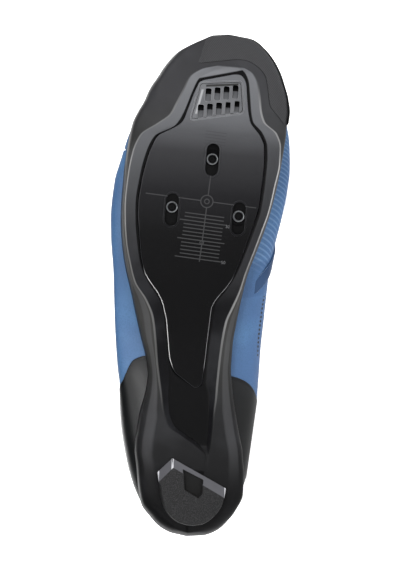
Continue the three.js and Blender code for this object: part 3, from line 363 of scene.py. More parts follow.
def rise_at_across(at, medial, reach, upper):
    """Where the form's skin stands at a distance from the middle line, above or below its widest."""
    side, _, _, _, crest, crown = section(at, medial)
    middle = crest if upper else 0
    share = np.clip((reach - middle) / np.maximum(side - middle, 0.01), 0, 1)
    turn = np.arccos(share ** ((crown if upper else 2.6) / 2)) / (2 * np.pi)
    return 0.25 + turn if upper else 0.25 - turn


def foot_edge(at, medial, under=4.0):
    """Where the upper disappears into the sole, a few millimetres under its rim."""
    edge = np.where(medial, -smooth(SOLE, "edgeM", at), smooth(SOLE, "edgeL", at)) * BALL_WIDTH
    rim = (smooth(SOLE, "spine", at) + smooth(SOLE, "rim", at)) * HEIGHT
    by_reach = rise_at_across(at, medial, edge - under, False)
    by_height = rise_at_height(at, medial, rim - under)
    side = section(at, medial)[0]
    return np.where(edge < side - 1.5, by_reach, np.minimum(by_reach, by_height))


def collar_edge(at, medial):
    """The upper's free edge: the collar line, then the throat, then none."""
    collar = rise_at_height(at, medial, smooth(COLLAR, "height", at) * HEIGHT)
    reach = np.where(medial, -smooth(THROAT, "medial", at), smooth(THROAT, "lateral", at)) * BALL_WIDTH
    throat = rise_at_across(at, medial, reach, True)
    end = ease(0.668, 0.702, at)
    throat = throat + (0.5 - throat) * end**2
    throat = np.where((at > 0.702) | (at < 0.3), 0.5, throat)
    collar = np.where(at > 0.402, 0.5, collar)
    return np.minimum(collar, throat)


def made(bm, name):
    """The worked mesh as a smooth object in the scene."""
    bmesh.ops.recalc_face_normals(bm, faces=bm.faces)
    for f in bm.faces:
        f.smooth = True
    me = bpy.data.meshes.new(name)
    bm.to_mesh(me)
    bm.free()
    ob = bpy.data.objects.new(name, me)
    bpy.context.scene.collection.objects.link(ob)
    return ob


def lay(bm, along, across, height, **marks):
    """Moves the points to where the shoe lies. Their upright places stay as attributes, in metres."""
    values = {"along": along / 1000, "across": across / 1000, "height": height / 1000, **marks}
    layers = {key: bm.verts.layers.float.new(key) for key in values}
    for i, (v, p) in enumerate(zip(bm.verts, place(along, across, height))):
        v.co = p
        for key, layer in layers.items():
            v[layer] = values[key][i]


def sheet(name, nu, nv, shape, marks=None, weld=True):
    """A grid whose points are put in place by a function of its two runs, both 0 to 1."""
    bm = bmesh.new()
    bmesh.ops.create_grid(bm, x_segments=nu, y_segments=nv, size=0.5)
    u, v = np.clip(np.array([(p.co.x + 0.5, p.co.y + 0.5) for p in bm.verts]).T, 0, 1)
    along, across, height = shape(u, v)
    lay(bm, along, across, height, **(marks(u, v) if marks else {}))
    if weld:
        bmesh.ops.remove_doubles(bm, verts=bm.verts, dist=2e-6)
    bmesh.ops.dissolve_degenerate(bm, edges=bm.edges, dist=1e-7)
    return made(bm, name)


def joined(name, parts):
    """Joins finished meshes into one piece and welds their seams."""
    bm = bmesh.new()
    for part in parts:
        bm.from_mesh(part.data)
    bmesh.ops.remove_doubles(bm, verts=bm.verts, dist=2e-6)
    for part in parts:
        old = part.data
        bpy.data.objects.remove(part)
        bpy.data.meshes.remove(old)
    return made(bm, name)


def stations(u):
    """Spreads stations along the shoe, closer at heel and toe."""
    return 0.55 * u + 0.45 * (0.5 - 0.5 * np.cos(np.pi * u))


# The upper
def upper_half(medial):
    """One side of the upper: up the outside, round the free edge and down the lining."""
    outer, roll = 0.68, 0.76

    def shape(u, v):
        at = stations(u)
        low, edge = foot_edge(at, medial), collar_edge(at, medial)
        free = np.clip((0.4999 - edge) / 0.01, 0, 1)
        collar = 1 - ease(0.34, 0.4, at)
        half = WALL / 2
        r = 0.0052 * free
        k = np.clip(v / outer, 0, 1)
        rise = low + (edge - r - low) * k
        out = np.zeros_like(u)
        turn = np.clip((v - outer) / (roll - outer), 0, 1) * np.pi
        on_roll = v > outer
        rise = np.where(on_roll, edge - r + r * np.sin(turn), rise)
        out = np.where(on_roll, -half + half * np.cos(turn), out)
        inside = v > roll
        q = np.clip((v - roll) / (1 - roll), 0, 1)
        back = edge - r - (edge - r - low) * q
        puff = bell(edge - back, 0.045, 0.036) * 3.4 * collar
        rise = np.where(inside, back, rise)
        out = np.where(inside, -WALL - puff * ease(0, 0.12, q), out)
        body = ease(0, 0.25, k) * (1 - ease(0.75, 1, k)) * (~on_roll)
        return form_upright(at, rise, medial, out + dents(at, rise) * body)

    def marks(u, v):
        return {
            "lining": (v > 0.5 * (outer + roll)).astype(float),
            "foot": np.clip(v / outer, 0, 1),
            "medial": np.full_like(u, float(medial)),
        }

    return sheet("upper_half", 250, 96, shape, marks)


def dents(at, rise):
    """Soft flex creases across the vamp and round the ankle, in mm."""
    wrinkle = -0.5 * bell(at, 0.7, 0.012) * ease(0.3, 0.42, rise)
    wrinkle += -0.45 * bell(at, 0.735 - 0.02 * np.sin(rise * 9), 0.010) * ease(0.28, 0.4, rise)
    wrinkle += 0.3 * bell(at, 0.718, 0.012) * ease(0.3, 0.42, rise)
    ankle = -0.6 * bell(at - 0.25 * (rise - 0.25), 0.29, 0.012) * bell(rise, 0.29, 0.03)
    return wrinkle + ankle


upper = joined("upper_shell", [upper_half(False), upper_half(True)])


# The sole
def sole_profile(at):
    """The sole's outside as corner points from the lateral rim round to the medial rim."""

    def across(key, rows=SOLE):
        return smooth(rows, key, at) * BALL_WIDTH

    ground = smooth(SOLE, "spine", at) * HEIGHT
    rise, rim, floor = (ground + smooth(SOLE, key, at) * HEIGHT for key in ("rise", "rim", "depth"))
    close = np.sqrt(np.clip(np.minimum(at, 1 - at) / 0.004, 0, 1))
    left, right = across("edgeL"), across("edgeM")
    pocket = 3.0 * ease(0.302, 0.31, at) * (1 - ease(0.915, 0.92, at))
    plate_l = np.minimum(across("lateral", PLATE) + 0.25, across("floorL") - 0.1)
    plate_m = np.maximum(across("medial", PLATE) - 0.25, across("floorM") + 0.1)
    # The wall's foot stands about half a millimetre inside its rim.
    low = np.maximum(0, 1 - 0.5 / np.maximum(left, 0.5))
    land = 0.4 * ease(0.14, 0.18, at) * (1 - ease(0.915, 0.935, at))
    out = 0.85 * ease(0.78, 0.9, at)
    land_l = across("landL") * (1 - out) + left * out
    land_m = across("landM") * (1 - out) + right * out
    spots = [
        (left - 1.4, rim + 0.2),
        (left, rim - 0.4),
        (left * (0.04 + 0.96 * low), rise),
        (land_l, ground + land),
        (across("ridgeL"), ground),
        (across("floorL"), floor),
        (plate_l, floor),
        (plate_l, floor + pocket),
        (plate_m, floor + pocket),
        (plate_m, floor),
        (across("floorM"), floor),
        (across("ridgeM"), ground),
        (land_m, ground + land),
        (right * (0.04 + 0.96 * low), rise),
        (right, rim - 0.4),
        (right + 1.4, rim + 0.2),
    ]
    xs = np.stack([np.asarray(x) * close for x, _ in spots], axis=-1)
    zs = np.stack([np.broadcast_to(z, at.shape) for _, z in spots], axis=-1)
    return xs, zs


# Each corner's rounding in mm, and how many steps each side between two corners has.
FILLETS = [0, 0.5, 2.6, 3.6, 0.8, 0.7, 0.25, 0.3, 0.3, 0.25, 0.7, 0.8, 3.6, 2.6, 0.5, 0]
RUNS = [1, 5, 4, 4, 5, 2, 2, 6, 2, 2, 5, 4, 4, 5, 1]
ARC = 5


def profile_points(at):
    """Rounds the profile's corners. Gives across and height, a column per point, and each column's corner."""
    xs, zs = sole_profile(at)
    pts = np.stack([xs, zs], axis=-1)
    cols, corner = [pts[:, 0]], [0.0]
    before = pts[:, 0]
    for k in range(1, pts.shape[1] - 1):
        here = pts[:, k]
        a, b = pts[:, k - 1] - here, pts[:, k + 1] - here
        la = np.linalg.norm(a, axis=1, keepdims=True) + 1e-9
        lb = np.linalg.norm(b, axis=1, keepdims=True) + 1e-9
        start = here + a / la * np.minimum(FILLETS[k], 0.45 * la)
        end = here + b / lb * np.minimum(FILLETS[k], 0.45 * lb)
        n = RUNS[k - 1]
        for i in range(1, n):
            cols.append(before + (start - before) * i / n)
            corner.append(k - 0.9 + 0.8 * i / n)
        for i in range(ARC):
            corner.append(k - 0.1 + 0.2 * i / (ARC - 1))
            t = i / (ARC - 1)
            cols.append((1 - t) ** 2 * start + 2 * t * (1 - t) * here + t**2 * end)
        before = end
    n = RUNS[-1]
    for i in range(1, n + 1):
        cols.append(before + (pts[:, -1] - before) * i / n)
        corner.append(14.1 + 0.9 * i / n)
    full = np.stack(cols, axis=1)
    return full[..., 0], full[..., 1], np.array(corner)


def make_sole():
    """The sole frame's outside, from rim to rim."""
    nu = 300
    at = stations(np.linspace(0, 1, nu + 1))
    xs, zs, corner = profile_points(at)
    nv = xs.shape[1] - 1

    def shape(u, v):
        i = np.rint(u * nu).astype(int)
        j = np.rint(v * nv).astype(int)
        along = at[i] * LENGTH
        across, height = xs[i, j], zs[i, j]
        skin = under_form(at[i], np.abs(across), across < 0)
        height = np.minimum(height, skin + 0.35)
        return along + lean(along, height), across, height

    def marks(u, v):
        return {"corner": corner[np.rint(v * nv).astype(int)]}

    return sheet("sole_frame", nu, nv, shape, marks, weld=False)


def under_form(at, reach, medial):
    """Height of the form's underside at a distance from the middle line; high where it is narrower."""
    side, wide, base, *_ = section(at, medial)
    share = np.clip(reach / np.maximum(side, 0.01), 0, 1)
    return np.where(reach < side - 0.5, wide - (wide - base) * (1 - share**2.6) ** (1 / 2.6), 1e3)


sole = make_sole()


# Plates cut from outlines
def in_mm(rows, column="across"):
    """A table's places along and across, in mm."""
    return [(a * LENGTH, x * BALL_WIDTH) for a, x in zip(rows["at"], rows[column])]


def rounded(loop, radius, steps=5, closed=True):
    """Rounds the corners of a loop of points."""
    pts = [np.array(p, float) for p in loop]
    n = len(pts)
    out = []
    for i, p in enumerate(pts):
        if not closed and i in (0, n - 1):
            out.append(p)
            continue
        a, b = pts[i - 1] - p, pts[(i + 1) % n] - p
        la, lb = np.linalg.norm(a), np.linalg.norm(b)
        r = min(radius, 0.45 * la, 0.45 * lb)
        s, e = p + a / la * r, p + b / lb * r
        for k in range(steps):
            t = k / (steps - 1)
            out.append((1 - t) ** 2 * s + 2 * t * (1 - t) * p + t**2 * e)
    return out


def stadium(length, width, along, across, steps=10):
    """A slot's outline with round ends."""
    r, reach = width / 2, length / 2 - width / 2
    pts = []
    for end in (1, -1):
        for i in range(steps + 1):
            t = math.pi * (i / steps - end / 2)
            pts.append((along + end * reach + r * math.cos(t), across + r * math.sin(t)))
    return pts


def floor_height(at):
    """The recess floor, level under the cleat."""

    def own(x):
        return (smooth(SOLE, "spine", x) + np.maximum(0.03, smooth(SOLE, "depth", x))) * HEIGHT

    inside = (at >= CLEAT_FLAT[0]) & (at <= CLEAT_FLAT[1])
    fade = ease(CLEAT_FLAT[1], CLEAT_FLAT[1] + 0.03, at)
    level = own(CLEAT_FLAT[0])
    past = level + (own(np.maximum(at, CLEAT_FLAT[1])) - level) * fade
    return np.where(inside, level, np.where(at > CLEAT_FLAT[1], past, own(np.asarray(at, float))))


def cut_plate(name, loops, low, high, bevel, curved=floor_height, step=3.0):
    """A sheet of flat outline with holes, its edges bevelled, bent to follow a height along the shoe.
    low is the outer face, seen from below; both are heights over the curve."""
    curve = bpy.data.curves.new(name, "CURVE")
    curve.dimensions = "2D"
    curve.fill_mode = "BOTH"
    depth = (high - low) / 2
    curve.extrude = depth - bevel
    curve.bevel_depth = bevel
    curve.bevel_resolution = 3
    curve.offset = -bevel
    for loop in loops:
        line = curve.splines.new("POLY")
        line.points.add(len(loop) - 1)
        line.use_cyclic_u = True
        for point, p in zip(line.points, loop):
            point.co = (p[0], p[1], 0, 1)
    ob = bpy.data.objects.new(name, curve)
    bpy.context.scene.collection.objects.link(ob)
    bpy.context.view_layer.update()
    me = bpy.data.meshes.new_from_object(ob.evaluated_get(bpy.context.evaluated_depsgraph_get()))
    bpy.data.objects.remove(ob)
    bm = bmesh.new()
    bm.from_mesh(me)
    bpy.data.meshes.remove(me)
    bmesh.ops.remove_doubles(bm, verts=bm.verts, dist=1e-4)
    xs = [v.co.x for v in bm.verts]
    x = min(xs) + step
    while x < max(xs) - 0.5:
        geom = bm.verts[:] + bm.edges[:] + bm.faces[:]
        bmesh.ops.bisect_plane(bm, geom=geom, dist=1e-4, plane_co=(x, 0, 0), plane_no=(1, 0, 0))
        x += step
    bm.normal_update()
    for e in bm.edges:
        flat = [abs(f.normal.z) > 0.999 for f in e.link_faces]
        e.smooth = len(set(flat)) < 2
    co = np.array([v.co for v in bm.verts])
    height = curved(co[:, 0] / LENGTH) + (low + high) / 2 + co[:, 2]
    lay(bm, co[:, 0], co[:, 1], height, side=np.minimum(1, (co[:, 2] + depth) / bevel))
    return made(bm, name)


def crisp(ob, angle=12):
    """Keeps edges sharper than the angle sharp in shading."""
    bm = bmesh.new()
    bm.from_mesh(ob.data)
    for e in bm.edges:
        if len(e.link_faces) == 2 and e.calc_face_angle(0) > math.radians(angle):
            e.smooth = False
    bm.to_mesh(ob.data)
    bm.free()
    return ob


plate_top = PLATE_THICK - PLATE_PROUD
plate_loop = rounded(in_mm(PLATE, "lateral") + in_mm(PLATE, "medial")[::-1], 2.2, 4)
vent_corners = in_mm(VENT)


def grown(loop, by):
    """The loop's corners moved out square to its sides."""
    pts = np.array(loop, float)
    area = np.sum(pts[:, 0] * np.roll(pts[:, 1], -1) - np.roll(pts[:, 0], -1) * pts[:, 1])
    into, away = pts - np.roll(pts, 1, axis=0), np.roll(pts, -1, axis=0) - pts
    a = np.stack([into[:, 1], -into[:, 0]], axis=1)
    b = np.stack([away[:, 1], -away[:, 0]], axis=1)
    a /= np.linalg.norm(a, axis=1, keepdims=True)
    b /= np.linalg.norm(b, axis=1, keepdims=True)
    half = (a + b) / np.linalg.norm(a + b, axis=1, keepdims=True)
    reach = by / np.maximum(0.5, np.sum(half * a, axis=1, keepdims=True))
    return list(pts + half * reach * np.sign(area))


def slot_place(name):
    """A slot's middle along and across, and its nut's shift, in mm."""
    at, across, nut = SLOTS[name]
    return at * LENGTH, across * BALL_WIDTH, nut


slot_loops = [stadium(SLOT_LENGTH, SLOT_WIDTH, *slot_place(n)[:2]) for n in SLOTS]
vent_loop = rounded(grown(vent_corners, 0.3), 1.5, 4)
plate = crisp(cut_plate("plate_body", [plate_loop, *slot_loops, vent_loop], -PLATE_PROUD, plate_top, 0.55))
rims = []
for slot_name in SLOTS:
    x, y, _ = slot_place(slot_name)
    ring = stadium(SLOT_LENGTH + 2.0, SLOT_WIDTH + 2.0, x, y)
    hole = stadium(SLOT_LENGTH - 0.1, SLOT_WIDTH - 0.1, x, y)
    rims.append(crisp(cut_plate("rim", [ring, hole], -PLATE_PROUD - 0.45, plate_top - 0.4, 0.3)))
plate = joined("plate_gloss", [plate] + rims)


def bar(length, width, along, across):
    """A small slot with rounded corners."""
    a, b = length / 2, width / 2
    corners = [(-a, -b), (-a, b), (a, b), (a, -b)]
    return rounded([(along + i, across + j) for i, j in corners], 0.9, 4)


def vent_grille():
    """The raised rim, the sunk plate with its nine slots and the ramps that show through them."""
    slots, ramps = [], []
    for at, across, count in ((0.8753, 0.0935, 4), (0.8413, 0.1311, 5)):
        for i in range(count):
            x, y = (at + i * 0.0035) * LENGTH, (across - i * 0.051) * BALL_WIDTH
            slots.append(bar(7.6, 3.3, x, y))
            start = x / LENGTH - 3.2 / LENGTH
            slope = lambda a, start=start: floor_height(a) + np.clip((a - start) * LENGTH, -1, 9) * 0.42
            ramps.append(cut_plate("ramp", [stadium(8.8, 4.2, x, y, 6)], 1.4, 2.0, 0.1, slope, 1.5))
    body = cut_plate("body", [rounded(grown(vent_corners, -1.4), 1.0, 4)] + slots, -0.1, 1.0, 0.25)
    rim_loops = [rounded(grown(vent_corners, -0.1), 1.6, 5), rounded(grown(vent_corners, -1.1), 1.2, 5)]
    rim = cut_plate("rim", rim_loops, -0.75, 1.6, 0.35)
    return joined("vent_grille", [crisp(body), crisp(rim)] + ramps)


vent = vent_grille()

# The heel pad
def reshaped(ob, **modifiers):
    """The object with modifiers applied, each given as name=(kind, settings)."""
    for key, (kind, settings) in modifiers.items():
        m = ob.modifiers.new(key, kind)
        for k, value in settings.items():
            setattr(m, k, value)
    bpy.context.view_layer.update()
    me = bpy.data.meshes.new_from_object(ob.evaluated_get(bpy.context.evaluated_depsgraph_get()))
    ob.modifiers.clear()
    old, ob.data = ob.data, me
    bpy.data.meshes.remove(old)
    return ob


def upright_block(name, loop, stages):
    """A block over a loop: each stage gives its height and how its points are moved."""
    bm = bmesh.new()
    face = bm.faces.new([bm.verts.new((*p, stages[0][0])) for p in loop])
    for z, move in stages[1:]:
        got = bmesh.ops.extrude_face_region(bm, geom=[face])["geom"]
        face = next(g for g in got if isinstance(g, bmesh.types.BMFace))
        for v, p in zip(face.verts, [tuple(v.co.xy) for v in face.verts]):
            v.co = (*move(p), z)
    return made(bm, name)


def heel_pad():
    """Rear round, two sloped facets in front, and a deep window."""
    top = float(smooth(SOLE, "spine", 0.1)) * HEIGHT - 0.2
    rows = list(np.linspace(PAD["at"][0], 0.1, 18))
    left = [(a * LENGTH, float(smooth(PAD, "lateral", a)) * BALL_WIDTH) for a in rows]
    right = [(a * LENGTH, float(smooth(PAD, "medial", a)) * BALL_WIDTH) for a in rows if a < 0.086]
    right.append((0.106 * LENGTH, -0.191 * BALL_WIDTH))
    front = [(0.1265, 0.2063), (0.1569, 0.127)]
    loop = left + [(a * LENGTH, x * BALL_WIDTH) for a, x in front] + right[::-1]

    def inward(p):
        x, y = p
        facet = x > 0.118 * LENGTH or (x > 0.104 * LENGTH and y < 0)
        x -= PAD_BEVEL if facet else 0
        return x + 0.6 * (x < 0.05 * LENGTH), y * 0.945

    body = upright_block("pad_body", loop, [(top, None), (top - 1.5, lambda p: p), (0.15, inward)])
    window = upright_block("window", in_mm(PAD_WINDOW), [(-5, None), (4, lambda p: p)])
    reshaped(body, cut=("BOOLEAN", {"operation": "DIFFERENCE", "object": window, "solver": "EXACT"}))
    bpy.data.objects.remove(window)
    edge = {"width": 0.4, "segments": 3, "limit_method": "ANGLE", "angle_limit": math.radians(26)}
    reshaped(body, edge=("BEVEL", edge))
    bm = bmesh.new()
    bm.from_mesh(body.data)
    bpy.data.objects.remove(body)
    return bm


def finish_upright(bm, name):
    """Lays a mesh worked upright in mm (along, across, height) where the shoe lies."""
    co = np.array([v.co for v in bm.verts])
    lay(bm, co[:, 0], co[:, 1], co[:, 2])
    return made(bm, name)


pad = crisp(finish_upright(heel_pad(), "pad_rubber"), 14)


# The cleat nuts
def nut(name):
    """A T-nut: a bored tube in the slot and a flange over the plate, turned from its profile."""
    x, y, shift = slot_place(name)
    face = float(floor_height(np.array(SLOTS[name][0]))) - PLATE_PROUD
    bottom, top = face + 0.3, face + PLATE_THICK + 0.3
    profile = [(2.0, top + 1.9), (2.05, bottom + 1.2), (2.6, bottom + 0.1), (2.75, bottom), (2.95, bottom)]
    profile += [(3.25, bottom + 0.35), (3.25, top)]
    profile += [(5.4, top), (5.5, top + 0.1), (5.5, top + 1.8), (5.4, top + 1.9)]
    bm = bmesh.new()
    ring = [bm.verts.new((x + shift + r, y, z)) for r, z in profile]
    edges = [bm.edges.new(pair) for pair in zip(ring, ring[1:] + ring[:1])]
    around = {"cent": (x + shift, y, 0), "axis": (0, 0, 1), "angle": 2 * math.pi, "steps": 48}
    bmesh.ops.spin(bm, geom=ring + edges, use_merge=True, **around)
    return crisp(finish_upright(bm, "nut_steel_" + name), 35)


nuts = {n: nut(n) for n in SLOTS}


# The heel counter
def counter_half(medial):
    """One side of the overlay, from the heel's back to its border on the upper."""
    rows = COUNTER_MEDIAL if medial else COUNTER_LATERAL

    def shape(u, v):
        lift = 0.6
        k = np.clip((v - 0.04) / 0.92, 0, 1)
        q = np.clip(u / 0.965, 0, 1)
        at = q * 0.3
        for _ in range(14):
            low = foot_edge(at, medial)
            high = np.minimum(collar_edge(at, medial) - 0.012, 0.46)
            rise = low + (high - low) * k
            height = form_upright(at, rise, medial, 0)[2] / HEIGHT
            border = smooth(rows, "at", height, by="height")
            at = 0.5 * (at + q**1.25 * border)
        edge = np.clip((u - 0.965) / 0.035, 0, 1)
        top = np.clip((v - 0.96) / 0.04, 0, 1)
        out = lift - (lift + 0.35) * np.maximum(edge, top) ** 2
        return form_upright(at, rise, medial, out)

    return sheet("counter_half", 120, 70, shape, lambda u, v: {"border": np.maximum(u, v)})


counter = joined("counter_overlay", [counter_half(False), counter_half(True)])


# The toe bumper
def bumper_piece():
    """The rubber from its groove under the toe to the rim round it."""
    groove = np.array(rounded(in_mm(GROOVE), 2.5, 5, closed=False))
    d = np.r_[0, np.cumsum(np.linalg.norm(np.diff(groove, axis=0), axis=1))]
    ats = np.linspace(0, 1, 4001)
    left, right = smooth(SOLE, "edgeL", ats) * BALL_WIDTH, smooth(SOLE, "edgeM", ats) * BALL_WIDTH
    close = np.sqrt(np.clip((1 - ats) / 0.004, 0, 1))
    outer = np.r_[np.c_[ats * LENGTH, left * close], np.c_[ats * LENGTH, right * close][::-1]]
    start = np.argmin(np.linalg.norm(outer[:4001] - [0.988 * LENGTH, 0.134 * BALL_WIDTH], axis=1))
    end = 4001 + np.argmin(np.linalg.norm(outer[4001:] - [0.829 * LENGTH, -0.368 * BALL_WIDTH], axis=1))
    rim_line = outer[start : end + 1]
    dr = np.r_[0, np.cumsum(np.linalg.norm(np.diff(rim_line, axis=0), axis=1))]
    fine = np.linspace(0.75, 1, 1200)
    xs, zs, _ = profile_points(fine)

    def under(along, across):
        at = along / LENGTH
        i = np.clip(np.searchsorted(fine, at), 1, len(fine) - 1)
        z = np.empty_like(across)
        for n in range(len(across)):
            z[n] = np.interp(-across[n], -xs[i[n]], zs[i[n]])
        return z

    def shape(u, v):
        g = np.stack([np.interp(u * d[-1], d, groove[:, k]) for k in (0, 1)], axis=1)
        r = np.stack([np.interp(u * dr[-1], dr, rim_line[:, k]) for k in (0, 1)], axis=1)
        k = np.clip(v / 0.7, 0, 1)
        p = g + (r - g) * (k * 0.985)[:, None]
        z = under(p[:, 0], p[:, 1])
        wall = np.clip((v - 0.7) / 0.3, 0, 1)
        at = np.clip(r[:, 0] / LENGTH, 0, 1)
        ground = smooth(SOLE, "spine", at) * HEIGHT
        top = ground + smooth(SOLE, "rim", at) * HEIGHT - 0.4
        rise = ground + smooth(SOLE, "rise", at) * HEIGHT
        ends = ease(0, 0.06, u) * (1 - ease(0.985, 1, u))
        swell = 0.5 * ease(0, 0.03, v) * ends - 0.05
        z = z - swell
        on = wall > 0
        climb = np.clip(wall / 0.9, 0, 1)
        zz = np.where(on, rise + (top - rise) * climb, z)
        centre = np.array([0.8 * LENGTH, 0.0])
        away = r - centre
        away /= np.linalg.norm(away, axis=1, keepdims=True)
        lip = np.clip((wall - 0.9) / 0.1, 0, 1)
        pp = np.where(on[:, None], r + away * (0.6 * ends - 0.15 - 1.75 * lip)[:, None], p)
        zz = zz + lip * 0.25
        return pp[:, 0] + lean(pp[:, 0], zz), pp[:, 1], zz

    return sheet("bumper_rubber", 200, 60, shape, lambda u, v: {"out": v}, weld=False)


bumper = bumper_piece()


# Tongue, insole and straps
def tongue_piece():
    """A ribbed pad under the throat."""

    def shape(u, v):
        at = 0.305 + 0.42 * u
        left, right = smooth(TONGUE, "lateral", at), -smooth(TONGUE, "medial", at)
        face = v < 0.5
        k = np.where(face, v * 2, (1 - v) * 2)
        s = 0.98 * (1 - 2 * k)
        medial = s < 0
        reach = np.abs(s) * np.where(medial, right, left) * BALL_WIDTH
        rise = rise_at_across(at, medial, reach, True)
        edge = np.sqrt(np.clip(1 - np.abs(s) ** 6, 0, 1)) * np.sqrt(np.clip(np.minimum(u / 0.03, 1), 0, 1))
        ribs = 0.35 * np.abs(np.sin(s * 14))
        thick = 1.6 * edge
        outs = -WALL - 0.35 - 1.6 + np.where(face, thick - ribs * edge * 0.6, -thick)
        return form_upright(at, rise, medial, outs)

    return sheet("tongue_pad", 110, 120, shape)


tongue = tongue_piece()


def insole_piece():
    """A cupped sheet over the sole's floor."""

    def shape(u, v):
        at = 0.01 + 0.975 * stations(u)
        s = 1 - 2 * v
        medial = s < 0
        side, wide, base, *_ = section(at, medial)
        z = base + WALL + 0.3 + 2.6
        share = np.clip(((wide - z) / np.maximum(wide - base - WALL, 1)), 0, 1)
        limit = (side - WALL) * np.clip(1 - share**2.6, 0, 1) ** (1 / 2.6) - 0.4
        cup = 2.2 * np.abs(s) ** 6
        across = s * np.maximum(limit + 1.2, 0.2)
        along = at * (LENGTH - 2 * FORM_INSET - 2 * WALL) + FORM_INSET + WALL
        z = z + cup - 0.2
        return along + lean(along, z), across, z

    return sheet("insole_cloth", 120, 60, shape)


insole = insole_piece()


def strap_piece(rows, name, sunk):
    """A strap over the form, its root sunk into the upper."""
    lo, hi = min(rows["around"]), max(rows["around"])

    def shape(u, v):
        around = lo + (hi - lo) * u
        at = smooth(rows, "at", around, by="around")
        half = smooth(rows, "half", around, by="around")
        face = v < 0.5
        s = np.where(face, 1 - 4 * v, 4 * v - 3)
        tip = np.minimum(u, 1 - u) * (hi - lo) / 0.02
        round_end = np.sqrt(np.clip(1 - (1 - np.clip(tip, 0, 1)) ** 2, 0, 1))
        half = half * (0.62 + 0.38 * round_end)
        edge = np.clip(1 - np.abs(s) ** 10, 0, 1) ** 0.5 * np.clip(tip * 3, 0, 1)
        groove = -0.25 * (bell(np.abs(s), 0.84, 0.03))
        out = 0.85 + np.where(face, 0.7 * edge + groove * edge, -0.7 * edge)
        medial = around > 0.5
        rise = np.where(medial, 1 - around, around)
        from_root = np.where(rows["around"][0] == lo, u, 1 - u)
        root = 1.5 - ease(0, 0.16, from_root) - 0.5 * ease(0.16, 0.5, from_root)
        return form_upright(at + s * half, rise, medial, out - 1.1 * root * sunk)

    def marks(u, v):
        return {"strap_u": u, "strap_v": np.where(v < 0.5, 1 - 4 * v, 2.0)}

    return sheet(name, 160, 44, shape, marks)


def numeral(text, along, across):
    """A small plain number printed on the plate."""
    curve = bpy.data.curves.new(text, "FONT")
    curve.body, curve.size, curve.extrude = text, 2.4, 0.02
    ob = bpy.data.objects.new(text, curve)
    bpy.context.scene.collection.objects.link(ob)
    bpy.context.view_layer.update()
    bm = bmesh.new()
    bm.from_mesh(bpy.data.meshes.new_from_object(ob.evaluated_get(bpy.context.evaluated_depsgraph_get())))
    bpy.data.objects.remove(ob)
    for v in bm.verts:
        x, y, z = v.co
        a = along + y
        v.co = (a, across - x, float(floor_height(np.array(a / LENGTH))) - PLATE_PROUD - 0.03 - z)
    return finish_upright(bm, "numeral_" + text)


numbers = joined("plate_numbers", [numeral("30", 174.4, -6.0), numeral("50", 154.3, -5.4)])

front_strap = strap_piece(FRONT_STRAP, "front_strap_cloth", 1.0)
instep_strap = strap_piece(INSTEP_STRAP, "instep_strap_cloth", 0.6)


# Finishes
class Value:
    """A shader number or colour that can be written in formulas."""

    def __init__(self, tree, socket):
        self.tree, self.socket = tree, socket

    def maths(self, kind, *others):
        node = self.tree.nodes.new("ShaderNodeMath")
        node.operation = kind
        for slot, value in zip(node.inputs, (self, *others)):
            if isinstance(value, Value):
                self.tree.links.new(value.socket, slot)
            else:
                slot.default_value = float(value)
        return Value(self.tree, node.outputs[0])

    def __add__(self, o):
        return self.maths("ADD", o)

    def __sub__(self, o):
        return self.maths("SUBTRACT", o)

    def __mul__(self, o):
        return self.maths("MULTIPLY", o)

    def __truediv__(self, o):
        return self.maths("DIVIDE", o)

    def __radd__(self, o):
        return self + o

    def __rmul__(self, o):
        return self * o

    def __rsub__(self, o):
        return self * -1 + o

    def __abs__(self):
        return self.maths("ABSOLUTE")

    def __pow__(self, o):
        return self.maths("POWER", o)

    def least(self, o):
        return self.maths("MINIMUM", o)

    def most(self, o):
        return self.maths("MAXIMUM", o)

    def sine(self):
        return self.maths("SINE")

    def wrapped(self, size):
        return self.maths("WRAP", size / 2, -size / 2)

    def rise(self, low, high):
        """0 below low, 1 above high, eased between."""
        node = self.tree.nodes.new("ShaderNodeMapRange")
        node.interpolation_type = "SMOOTHERSTEP"
        self.tree.links.new(self.socket, node.inputs["Value"])
        node.inputs["From Min"].default_value = low
        node.inputs["From Max"].default_value = high
        return Value(self.tree, node.outputs["Result"])

    def fall(self, low, high):
        return 1 - self.rise(low, high)

    def near(self, middle, half):
        """1 at the middle, 0 from half away."""
        return abs(self - middle).fall(0.35 * half, half)


